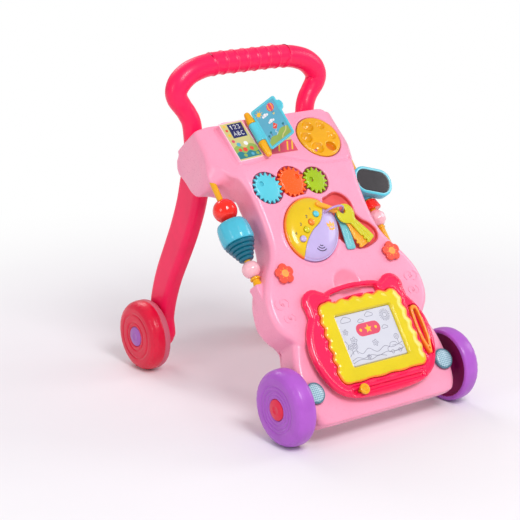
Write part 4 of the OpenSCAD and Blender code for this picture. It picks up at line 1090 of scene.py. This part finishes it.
def music_unit():
    """A low dome in two colours that meet along an S, on an orange base, with four buttons and a lug."""
    def dome(x, s, h):
        edge = outline_distance(phone_oval(UNIT_INSET), x, s)
        return both(edge, np.maximum((h - dome_height(x, s)) * 0.8, 1 - h), 0.4)

    def with_button_holes(d, x, s, r):
        for bx, bs, _, _ in BUTTONS:
            d = without(d, np.hypot(x - bx, s - bs) - BUTTON_HOLE_R, r)
        return d

    def yellow(x, s, h):
        half = both(dome(x, s, h - 0.35), outline_distance(YELLOW_SIDE, x, s), 0.8)
        return with_button_holes(half, x, s, 0.5)

    def lilac(x, s, h):
        return both(dome(x, s, h), 0.3 - outline_distance(YELLOW_SIDE, x, s), 0.6)

    def base(x, s, h):
        """A thin rim and a floor."""
        edge = outline_distance(phone_oval(), x, s)
        rim = plate(np.maximum(edge, -edge - 3.2), h, -7.8, 2.6, 1.0)
        bottom = np.maximum(edge + 1, np.maximum(h + 5.4, -7.8 - h))
        return with_button_holes(np.minimum(rim, bottom), x, s, 0.2)

    def lower_half(c):
        return outline_distance(YELLOW_SIDE, c[:, 0], c[:, 1]) > 0

    step = cell_size(0.62)
    low, high = (-72, 246, 0), (29, 348, 10.6)
    o = solid("music_yellow", yellow, low, high, step, FACE, [PHONE])
    add(o, "walker", "phone_yellow", "phone_yellow")
    o = solid("music_lilac", lilac, low, high, step, FACE, [LILAC])
    add(o, "walker", "lilac", "phone_lilac")
    o = solid("music_base", base, (-74, 244, -9), (31, 350, 3.6), step * 1.15, FACE, [RIM, LILAC], lower_half)
    add(o, "walker", "orange", "phone_base")
    (ax, ay), (bx, by) = LUG
    length = hypot(bx - ax, by - ay)

    def lug(x, y, z):
        """A bar with a post under it."""
        bar = np.hypot(x - np.clip(x, 0, length), y) - 3.5
        d = both(bar, np.maximum(z - 12.9 + 0.06 * y * y, 6.4 - z), 1.2)
        return either(d, plate(np.hypot(x - 10, y) - 2.9, z, 2, 11, 0.3), 0.8)

    place = FACE @ shift(ax, ay) @ turn(degrees(atan2(by - ay, bx - ax)))
    o = solid("music_lug", lug, (-5, -5, 1), (length + 5, 5, 14), 0.5, place, [KEY_ORANGE])
    add(o, "walker", "orange", "phone_base")
    cap = [(0, -2), (3.7, -2), (3.7, 0), (BUTTON_R, 0.3), (BUTTON_R, 10.6)]
    cap += [(BUTTON_R * sin(a), 10.6 + 1.75 * cos(a)) for a in np.radians(np.linspace(80, 0, 8))]
    for i, (bx, by, paint, slot) in enumerate(BUTTONS, 1):
        o = lathe(f"tune_button_{i}", cap, FACE @ shift(bx, by), [paint], sides=40)
        add(o, f"music_button_{i}", slot, f"music_button_{i}")
    music_marks()


def music_marks():
    """Small printed marks: a numeral by each button, a crest, and three waves of sound."""
    art = Relief([INK, KEY_ORANGE])
    for text, x, y in NUMERALS:
        art.write(text, x - 1.6, y - 1.2, 3.8, 0, 0.2, 0.5, angle=-14, weight=0.24)
    for r in (3.4, 6.8, 10.2):
        art.stroke(arc(-20.7, 273.4, r, 210, 305, 14), 1.25, 0, -0.2, 0.16)
    petal = [(0, -4.4), (2.6, 0.4), (0.2, 5.2), (-2.6, 0.4)]
    for x, y, angle in ((1.3, 295.2, 28), (5.5, 296.4, 0), (9.7, 295.2, -28)):
        art.shape(turned(petal, angle) + [x, y], 1, -0.2, 0.3)
    art.stroke([(0.4, 291), (5.5, 289.2), (10.6, 291)], 2.6, 1, -0.2, 0.3)
    add(art.made("music_marks", FACE, drape=dome_height), "walker", "lilac")


# ---------------------------------------------------------------- the keys
KEYS = (  # piece, node, slot, paint, height, angle, radius of the bow, length, width, flare, cuts
    ("toy_key_teal", "key_cyan", "key_teal", KEY_TEAL, 0.5, -4, 9, 54, 13, 0.5, 0),
    ("toy_key_orange", "key_orange", "orange", KEY_ORANGE, 3.45, 19, 10, 55.5, 11, 4.5, 2),
    ("toy_key_olive", "key_olive", "olive", OLIVE, 6.4, 31, 13.8, 56, 11.5, 2, 2),
)


def key(name, node_name, slot, paint, height, angle, bow_r, length, width, flare, cuts):
    """A rounded bow with a hole and a groove near its edge, and a blade that flares to its cut end."""
    def plan(x, y):
        half = width / 2 + flare * np.clip((-y - 24) / (length - 36), 0, 1)
        blade = both(np.abs(x) - half, np.abs(y + (length + 6) / 2) - (length - 6) / 2, 3)
        d = either(np.hypot(x * 0.94, y + 6.5) - bow_r, blade, 2.4)
        for i in range(cuts):
            cut = np.maximum(np.abs(x + width / 2 + flare) - 2.2, np.abs(y + length - 5.5 - 6.5 * i) - 1.5)
            d = without(d, cut, 0.8)
        return d

    def field(x, y, z):
        edge = plan(x, y)
        d = slab(edge, z, KEY_T / 2, KEY_T / 2, 0.8)
        d = without(d, np.maximum(np.abs(edge + 2.6) - 0.45, KEY_T - 0.35 - z), 0.25)
        line = np.maximum(np.abs(x) - 0.7, np.abs(y + length / 2 + 10) - length / 2 + 14)
        d = without(d, np.maximum(line, KEY_T - 0.5 - z), 0.3)
        return without(d, np.hypot(x, y) - 5.0, 0.7)

    place = FACE @ shift(*KEY_HOLE, height) @ turn(angle)
    reach = bow_r + 3
    o = solid(name, field, (-reach, -length - 2, -0.8), (reach, bow_r - 3.5, KEY_T + 0.8), 0.5, place,
              [paint])
    add(o, node_name, slot, node_name)


def keys():
    """Three keys, the ring that they hang on and the hollow that they lie over."""
    for row in KEYS:
        key(*row)
    ring = np.column_stack([arc(0, 0, 16, -35, 195, 70), np.zeros(70)])
    o = sweep("key_loop", ring, 1.5, FACE @ shift(18.5, 313, 5) @ turn(80, "X"), [MAUVE], 24)
    add(o, "walker", "ring_mauve", "key_ring")

    def field(x, s, h):
        edge = outline_distance(HOLLOW_LINE, x, s) + 0.25
        d = both(edge, np.maximum(h + 0.5, -8.6 - h), 0.5)
        d = without(d, np.maximum(edge + 1.3, -7 - h + 0.02 * np.maximum(edge + 9, 0) ** 2), 1.2)
        return without(d, outline_distance(phone_oval(0.4), x, s), 0.1)

    o = solid("key_hollow", field, (8, 254, -9.4), (90, 348, 0.6), cell_size(0.75), FACE, [HOLLOW])
    add(o, "walker", "key_hollow", "key_tray")


# ---------------------------------------------------------------- flowers
def flowers():
    """Two flower buttons with blunt petals, a raised eye and thin rays."""
    corners = [polar(r, radians(18 + 72 * k + a)) for k in range(5)
               for a, r in ((-36, 11.2), (-20, 13.4), (0, 14.3), (20, 13.4))]
    petals = smooth_curve(corners, True, 4)

    def field(x, y, z):
        r = np.hypot(x, y)
        flat = slab(outline_distance(petals, x, y), z, 3.7, 1.35, 0.7)
        eye, stem = slab(r - 5.2, z, 3.5, 2.3, 0.8), slab(r - 5.95, z, -1, 4.9, 0.3)
        return np.minimum(either(flat, eye, 0.6), stem)

    def warm(c):
        return (np.hypot(c[:, 0], c[:, 1]) < 5.3) & (c[:, 2] > 5.15)

    for side, hand in ((-1, "left"), (1, "right")):
        place = FACE @ shift(side * FLOWERS[0], FLOWERS[1])
        o = solid(f"flower_head_{hand}", field, (-15, -15, -6.6), (15, 15, 6.6), 0.55, place,
                  [CORAL, APRICOT], warm)
        add(o, f"flower_{hand}", "flower", f"flower_{hand}")
        art = Relief([SUN])
        art.stroke(arc(0, 0, 3.9, 0, 360, 30), 0.45, 0, 5.6, 5.92)
        art.rays(0, 0, 6.2, 8.0, 45, 0.5, 0, 4.9, 5.15)
        add(art.made(f"flower_rays_{hand}", place), f"flower_{hand}", "yellow")


# ---------------------------------------------------------------- the drawing board
BOARD = mirrored(np.concatenate([
    smooth_curve([(0, 61), (30, 62), (58, 66), (79, 77), (93, 98), (99.5, 124), (98, 148), (91, 166),
                  (82, 180)], n=3),
    arc(64.5, 197.5, 18.3, -20, 130, 9), smooth_curve([(46, 208), (30, 212), (0, 214)], n=3)]))
BOARD_LOW, BOARD_TOP = 0.4, 11.3
TRACK_S, TRACK_HALF, TRACK_DEPTH = 73, 58, 3.2
KNOB_X = -45
PEN_AT = (82.2, 130.5)
SCREEN_MIDDLE = 138.5


def wavy(a, b, waves, height, start=0.0):
    """A line from a to b with waves of height, the first of them started at start."""
    a, b = np.array(a, float), np.array(b, float)
    t = np.linspace(0, 1, 10 * waves, endpoint=False)
    across = np.array([-(b - a)[1], (b - a)[0]]) / np.linalg.norm(b - a)
    return a + np.outer(t, b - a) - np.outer(height * np.sin(2 * pi * (waves * t + start)), across)


BEZEL = np.concatenate([
    arc(-61, 95, 9.5, 180, 270, 6), wavy((-52, 85.6), (54, 85.6), 3, 0.7), arc(61, 95, 9.5, -90, 0, 6),
    wavy((70.6, 97), (66.2, 182), 5, 1.7, 0.5), arc(56, 183, 9.4, 5, 85, 5),
    wavy((53, 192), (-53, 192), 5, 1.7, 0.5), arc(-56, 183, 9.4, 95, 175, 5),
    wavy((-66.2, 182), (-70.6, 97), 5, 1.7, 0.5)])


def pen_loop(grow=0.0):
    """The pen's drop-shaped outline, grown all round."""
    top = arc(0, 34.3 - 6.2, 6.2 + grow, 10, 170, 14)
    side = smooth_curve([(-6.6 - grow, 24), (-7.6 - grow, 6), (-6.6 - grow, -14), (-2 - grow, -34.3 - grow)])
    return np.concatenate([top, side, (side * [-1, 1])[::-1]])


def drawing_board():
    """Hot pink tray with ears and a carrying bar, a wavy yellow bezel, the screen, the slider and the pen."""
    def tray(x, s, h):
        edge = outline_distance(BOARD, x, s)
        d = plate(edge, h, BOARD_LOW, BOARD_TOP, 5)
        # the face inside the rounded rim lies a little lower
        d = without(d, both(edge + 6, BOARD_TOP - 1.5 - h, 0.6), 0.9)
        window = outline_distance(BEZEL, x, s)
        lip = both(np.abs(window - 4.2) - 1.0, np.maximum(h - BOARD_TOP + 0.4, 8 - h), 0.6)
        d = either(d, np.maximum(lip, edge + 3.4), 0.7)
        d = without(d, np.maximum(window - 2.0, 3.35 - h), 0.5)
        # the gap under the carrying bar
        d = without(d, both(np.abs(x) - 40, np.abs(s - 202 + 0.0026 * x * x) - 4.9, 2), 1.4)
        # the bed of the slider's track with two ridges, its slot, and the pen's slot
        bed = slab(np.abs(x) - 62, s, TRACK_S, 6.6, 3)
        d = without(d, np.maximum(bed, BOARD_TOP - TRACK_DEPTH - h), 0.8)
        for off in (-4.4, 4.4):
            ridge = np.hypot(s - TRACK_S - off, h - BOARD_TOP + TRACK_DEPTH) - 1.5
            d = either(d, np.maximum(ridge, np.abs(x) - TRACK_HALF - 1), 0.6)
        d = without(d, np.maximum(np.maximum(np.abs(x) - TRACK_HALF, np.abs(s - TRACK_S) - 2), 5.35 - h), 0.3)
        slot = slab(np.abs(x - PEN_AT[0]) - 8.1, s, PEN_AT[1], 35.5, 5)
        return without(d, np.maximum(slot, 5.4 - h), 0.6)

    o = solid("board_tray", tray, (-102, 58, -0.6), (102, 218, 12.4), cell_size(0.85), FACE, [HOT])
    add(o, "board", "board_pink", "board_frame")

    def bezel(x, s, h):
        """The bezel slopes down to its outer edge and, inside, to the screen; a thin ledge runs between."""
        edge = outline_distance(BEZEL, x, s)
        d = plate(edge, h, 3.4, 13.3 - 0.02 * np.clip(edge + 9, 0, 9) ** 2, 1.3)
        d = np.minimum(d, plate(edge - 1.5, h, 3.4, 11.7, 0.6))
        square = slab(np.abs(x) - 46.15, s, SCREEN_MIDDLE, 34.65, 2.0)
        d = without(d, np.maximum(square - 0.55 * np.maximum(h - 9.6, 0), 3 - h), 0.5)
        ledge = slab(np.abs(x) - 52, s, SCREEN_MIDDLE, 40.5, 3)
        return either(d, slab(np.maximum(np.abs(ledge) - 0.55, square), h, 13, 0.3, 0.3), 0.8)

    def flange(c):
        return (c[:, 2] < 11.95) & (outline_distance(BEZEL, c[:, 0], c[:, 1]) > -0.7)

    o = solid("board_bezel_ring", bezel, (-78, 80, 2.6), (78, 199, 14.2), cell_size(0.7), FACE,
              [BEZEL_PAINT, RIM], pick=flange)
    add(o, "board", "phone_yellow", "board_bezel")

    def pane(x, s, h):
        return slab(slab(np.abs(x) - 45.9, s, SCREEN_MIDDLE, 34.4, 1.8), h, 6.6, 3.2, 0.4)

    o = solid("drawing_screen", pane, (-48, 102, 2.6), (48, 175, 10.6), 1.1, FACE, [SCREEN])
    add(o, "board", "screen", "board_screen")
    doodles()

    def knob(x, y, z):
        """A round head with a cup in it, on a flat foot."""
        head = slab(np.hypot(x, y) - 7.1, z, 13.75, 1.95, 1.1)
        head = without(head, np.maximum(np.hypot(x, y) - 3.2, 14.6 - z), 0.8)
        return np.minimum(head, slab(np.maximum(np.abs(x) - 4.9, np.abs(y) - 1.6), z, 9.5, 3.6, 0.3))

    o = solid("slider_knob", knob, (-8, -8, 5), (8, 8, 16.6), 0.45, FACE @ shift(KNOB_X, TRACK_S), [YELLOW])
    add(o, "board_slider", "yellow", "board_slider")

    def pen(x, y, z):
        d = slab(outline_distance(pen_loop(), x, y), z, 9.3, 3.4, 1.6)
        return without(d, outline_distance(pen_loop(-3.2) * [0.95, 0.92], x, y), 1.0)

    def stripe(c):
        return (np.abs(outline_distance(pen_loop(), c[:, 0], c[:, 1]) + 2.4) < 0.55) & (c[:, 2] > 12)

    o = solid("board_pen_loop", pen, (-9, -36, 5), (9, 36, 13.6), 0.5, FACE @ shift(*PEN_AT),
              [RIM, YELLOW], stripe)
    add(o, "board_pen", "orange", "board_pen")


def doodles():
    """Thin line drawings printed on the screen, round a plain red badge with a star."""
    art = Relief([INK_PALE, ROSE, SUN])
    low, top, line = 9.7, 9.86, 0.62

    def drawn(points):
        art.stroke(points, line, 0, low, top)

    def circle(x, y, r, n):
        drawn(arc(x, y, r, 0, 360, n))

    def loop(points, scale=1.0, at=(0, 0)):
        curve = smooth_curve(points, True, 4)
        drawn(np.vstack([curve, curve[:1]]) * scale + at)

    art.rays(33, 161, 4.6, 8.6, 18, line, 0, low, top)
    circle(33, 161, 3.2, 20)
    cloud = [(-7, -2), (-8, 1), (-5, 3), (-2, 5), (2, 4.4), (5, 3), (8, 1), (7, -2), (0, -2.6)]
    for cx, cy, k in ((-31, 165, 1.0), (8, 166, 0.8), (-8, 160, 0.6), (26, 145, 0.6)):
        loop(cloud, k, (cx, cy))
    hills = smooth_curve([(-44, 118), (-34, 124), (-24, 118), (-12, 123), (0, 116), (14, 121), (26, 117),
                          (44, 121)], n=5)
    drawn(hills)
    drawn(hills * [1, 0.5] + [0, 52.5])
    for x0 in (-38, -31, 38):
        drawn([(x0, 119), (x0, 126)])
        circle(x0, 129.5, 3.6, 18)
        circle(x0, 129.5, 1.7, 12)
    loop([(18, 112), (18, 117), (22, 119), (25, 123), (33, 123), (36, 119), (41, 117), (41, 112), (30, 111)])
    for x0 in (24, 36):
        circle(x0, 111, 2.4, 14)
    drawn([(26, 119), (33, 119)])
    a = np.linspace(0, 2 * pi, 50)
    for cx, cy, r in ((-30, 137, 4.2), (-38, 150, 3.2), (2, 128, 3.6), (-16, 112, 2.6)):
        petals = r * (1 + 0.28 * np.cos(5 * a))
        drawn(np.stack([cx + petals * np.cos(a), cy + petals * np.sin(a)], 1))
        circle(cx, cy, r * 0.35, 12)
    drawn(smooth_curve([(-44, 108), (-30, 111), (-14, 108), (0, 111), (12, 108)], n=5))
    drawn(smooth_curve([(-44, 127), (-41, 133), (-44, 139)], n=5))
    art.shape(rounded_box(-20.5, 139.5, 19, 157, 8.4), 1, low, top + 0.06)
    star = [(r * sin(b) - 0.8, 148.3 + r * cos(b)) for b, r in zip(full_turn(10), [6.2, 2.7] * 5)]
    art.shape(star, 2, top, top + 0.14)
    for x0 in (-13.4, 11.8):
        art.disc(x0, 148.3, 2.0, 2, top, top + 0.14)
    add(art.made("screen_doodles", FACE), "board", "screen")


# ---------------------------------------------------------------- beads, rods and mirror
BORE = 4.3
ROD_R = 4.18
BELL_R, BELL_H = 22.3, 31
CONE_RIBS, RIB_RISE = 5, 5.1


def closed_bore(profile):
    """The profile's outside, then back down the bore to where it starts."""
    p = [tuple(q) for q in profile]
    return [(BORE, p[0][1])] + p + [(BORE, p[-1][1]), (BORE, p[0][1])]


def ball(name, body, slot, r, side, s, paint):
    """A drilled ball on a rod."""
    start = asin((BORE + 0.6) / r)
    outside = [(r * sin(t), -r * cos(t)) for t in np.linspace(start, pi - start, 30)]
    add(lathe(name, closed_bore(outside), rod_frame(side, s), [paint]), body, slot, body)


def bell():
    """A faceted cup over a ribbed cone."""
    def cup(x, y, z):
        r = np.hypot(x, y)
        ratio = np.interp(z.ravel(), [0, 6, 16, 25, BELL_H], [0.96, 1.0, 1.0, 0.95, 0.82]).reshape(z.shape)
        limit = BELL_R * ratio
        d = np.maximum(r * np.cos(from_sector(x, y, 12)) - limit * 0.985, r - limit)
        return np.maximum(plate(d, z, 0, BELL_H, 2.0), BORE - r)

    o = solid("bell_top", cup, (-24, -24, -1.4), (24, 24, 33), cell_size(0.8), rod_frame(-1, 306.4),
              [BELL_CYAN])
    add(o, "bell", "cyan", "bell_cup")
    ribs = []
    for i in range(CONE_RIBS):
        r, z = 10.2 + 2.45 * i, RIB_RISE * i
        ribs += [(r - 2.3, z + 0.1), (r - 0.9, z + 0.9), (r, z + 2.2), (r + 0.2, z + 3.1), (r - 0.4, z + 4.1),
                 (r - 1.2, z + 4.7)]
    ribs[0] = (7.6, 0)
    ribs.append((18.6, 25.8))
    add(lathe("bell_ribs", closed_bore(ribs), rod_frame(-1, 280.5), [TEAL]), "bell", "teal", "bell_cone")


def beads():
    """The left rod's ball, bell and bead, and the right rod's two cut beads."""
    ball("red_ball_bead", "red_ball", "red", 16.2, -1, 355, RED)
    bell()
    ball("pale_bead_left", "bead_left", "bead_pale", 12, -1, 267.5, BALLET)

    def gem(x, y, z):
        """A ball with three rows of nine flat cuts."""
        r = 12.6
        d = np.sqrt(x * x + y * y + z * z * 1.02) - r
        for tilt in (0, 38, -38):
            c, s = cos(radians(tilt)), sin(radians(tilt))
            for i in range(9):
                t = radians(40 * i + tilt / 2)
                d = both(d, x * cos(t) * c + y * sin(t) * c + z * s - r * 0.935, 0.5)
        return np.maximum(slab(d, z, 0, 11.6, 1), BORE - np.hypot(x, y))

    o = solid("pale_bead_right", gem, (-14, -14, -13), (14, 14, 13), 0.6, rod_frame(1, 303.5), [BALLET])
    add(o, "bead_right", "bead_pale", "bead_right")

    def drum(x, y, z):
        """A short drum with ten flat sides that narrows upwards."""
        r = np.hypot(x, y)
        limit = 13 - 0.25 * z
        sides = np.maximum(r * np.cos(from_sector(x, y, 10)) - limit * 0.965, r - limit)
        return np.maximum(plate(sides, z, 0.1, 13.9, 1.6), BORE - r)

    o = solid("red_bead_right", drum, (-14.5, -14.5, -0.8), (14.5, 14.5, 15), 0.6, rod_frame(1, 317), [RED])
    add(o, "bead_red_right", "red", "bead_red_right")


def rods():
    """The yellow rods with a stop ring each, and a cone at the left foot. Heights are along the rod."""
    foot, top = 228, 406
    for side, hand, ring, ring_s in ((-1, "left", 7, 252.5), (1, "right", 5.6, 288)):
        line = [(0, foot), (ROD_R, foot), (ROD_R, 241)]
        if side < 0:
            line += [(6.8, 241.2), (6.6, 243), (4.9, 250), (4.9, 252.4)]
        line += [(ROD_R, ring_s - 0.1), (ring - 0.2, ring_s), (ring, ring_s + 0.7), (ring, ring_s + 1.9),
                 (ring - 0.2, ring_s + 2.5), (ROD_R, ring_s + 2.6), (ROD_R, top), (0, top)]
        o = lathe(f"rod_{hand}", np.array(line) - [0, foot], rod_frame(side, foot), [YELLOW], sides=40)
        add(o, "walker", "yellow", "bead_rods")


MIRROR_HALF_L, MIRROR_HALF_W, MIRROR_R = 31, 20.5, 19


def mirror():
    """A deep cyan housing with a pale inner ring and dark glass, on a sleeve that turns on the rod."""
    place = FACE @ shift(122.4, 353, -27.5) @ turn(-19)

    def plan(x, y, inner):
        """The rounded oblong, drawn in by inner."""
        dx = np.maximum(np.abs(x) - (MIRROR_HALF_L - MIRROR_R), 0)
        return np.hypot(dx, np.maximum(np.abs(y) - (MIRROR_HALF_W - MIRROR_R), 0)) - (MIRROR_R - inner)

    def housing(x, y, z):
        d = plate(plan(x, y, 0), z, 0, 14.4, 2.6)
        d = without(d, np.maximum(plan(x, y, 4.3), 12.3 - z), 1.1)
        return without(d, np.maximum(np.abs(plan(x, y, 0) + 0.2) - 0.5, np.abs(z - 9.4) - 0.45), 0.2)

    def pale(c):
        return (plan(c[:, 0], c[:, 1], 2.6) < 0) & (c[:, 2] > 11.5)

    o = solid("mirror_housing", housing, (-33, -23, -1), (33, 23, 15.4), cell_size(0.7), place,
              [CYAN, MIRROR_LIP], pick=pale)
    add(o, "mirror", "cyan", "mirror_frame")
    sleeve = closed_bore([(6.2, 0), (7.2, 0.8), (7.2, 41.2), (6.2, 42)])
    add(lathe("mirror_sleeve", sleeve, rod_frame(1, 333), [CYAN], sides=48), "mirror", "cyan", "mirror_frame")

    # painted reflection: the pane's dark colour stands for what the mirror reflects
    def glass(x, y, z):
        return slab(plan(x, y, 4.5), z, 13.0, 0.55, 0.35)

    o = solid("mirror_pane", glass, (-30, -19, 12), (30, 19, 14), 0.6, place, [MIRROR_DARK_REFLECTION])
    add(o, "mirror", "mirror", "mirror_glass")


# ---------------------------------------------------------------- raised marks on the shell
CURLS = (smooth_curve([(-6, -4), (-8, 1), (-4, 5), (1, 4), (2, 0), (-2, -2)], n=5),
         smooth_curve([(6, 5), (9, 1), (7, -4), (2, -5)], n=5))


def raised_marks():
    """Low curls round a small ring, two on each hip, in the shell's own plastic."""
    art = Relief([SHELL])
    low, top = -0.4, 0.6
    for side in (-1, 1):
        for x, s, k in ((108, 207, 1.25), (104, 187, 1.0)):
            for curl in CURLS:
                art.stroke(curl * [side * k, k] + [side * x, s], 1.3, 0, low, top)
            art.stroke(arc(side * x, s, 1.6 * k, 0, 360, 16), 1.1, 0, low, top)
    add(art.made("raised_marks", FACE), "walker", "shell_pink")


# ---------------------------------------------------------------- the whole scene
FLOOR_HALF = 6000
camera()
studio()
floor = new_object("floor", [(-FLOOR_HALF, -FLOOR_HALF, 0), (FLOOR_HALF, -FLOOR_HALF, 0),
                             (FLOOR_HALF, FLOOR_HALF, 0), (-FLOOR_HALF, FLOOR_HALF, 0)],
                   [(0, 1, 2, 3)], [floor_material()])
staying_nodes()
shell()
handle()
leg(-1, "left")
leg(1, "right")
for wheel_end in ("front", "rear"):
    for wheel_hand in ("left", "right"):
        wheel(wheel_end, wheel_hand)
headlights()
gears()
dial()
book()
music_unit()
keys()
flowers()
drawing_board()
beads()
rods()
mirror()
raised_marks()
bpy.context.view_layer.update()
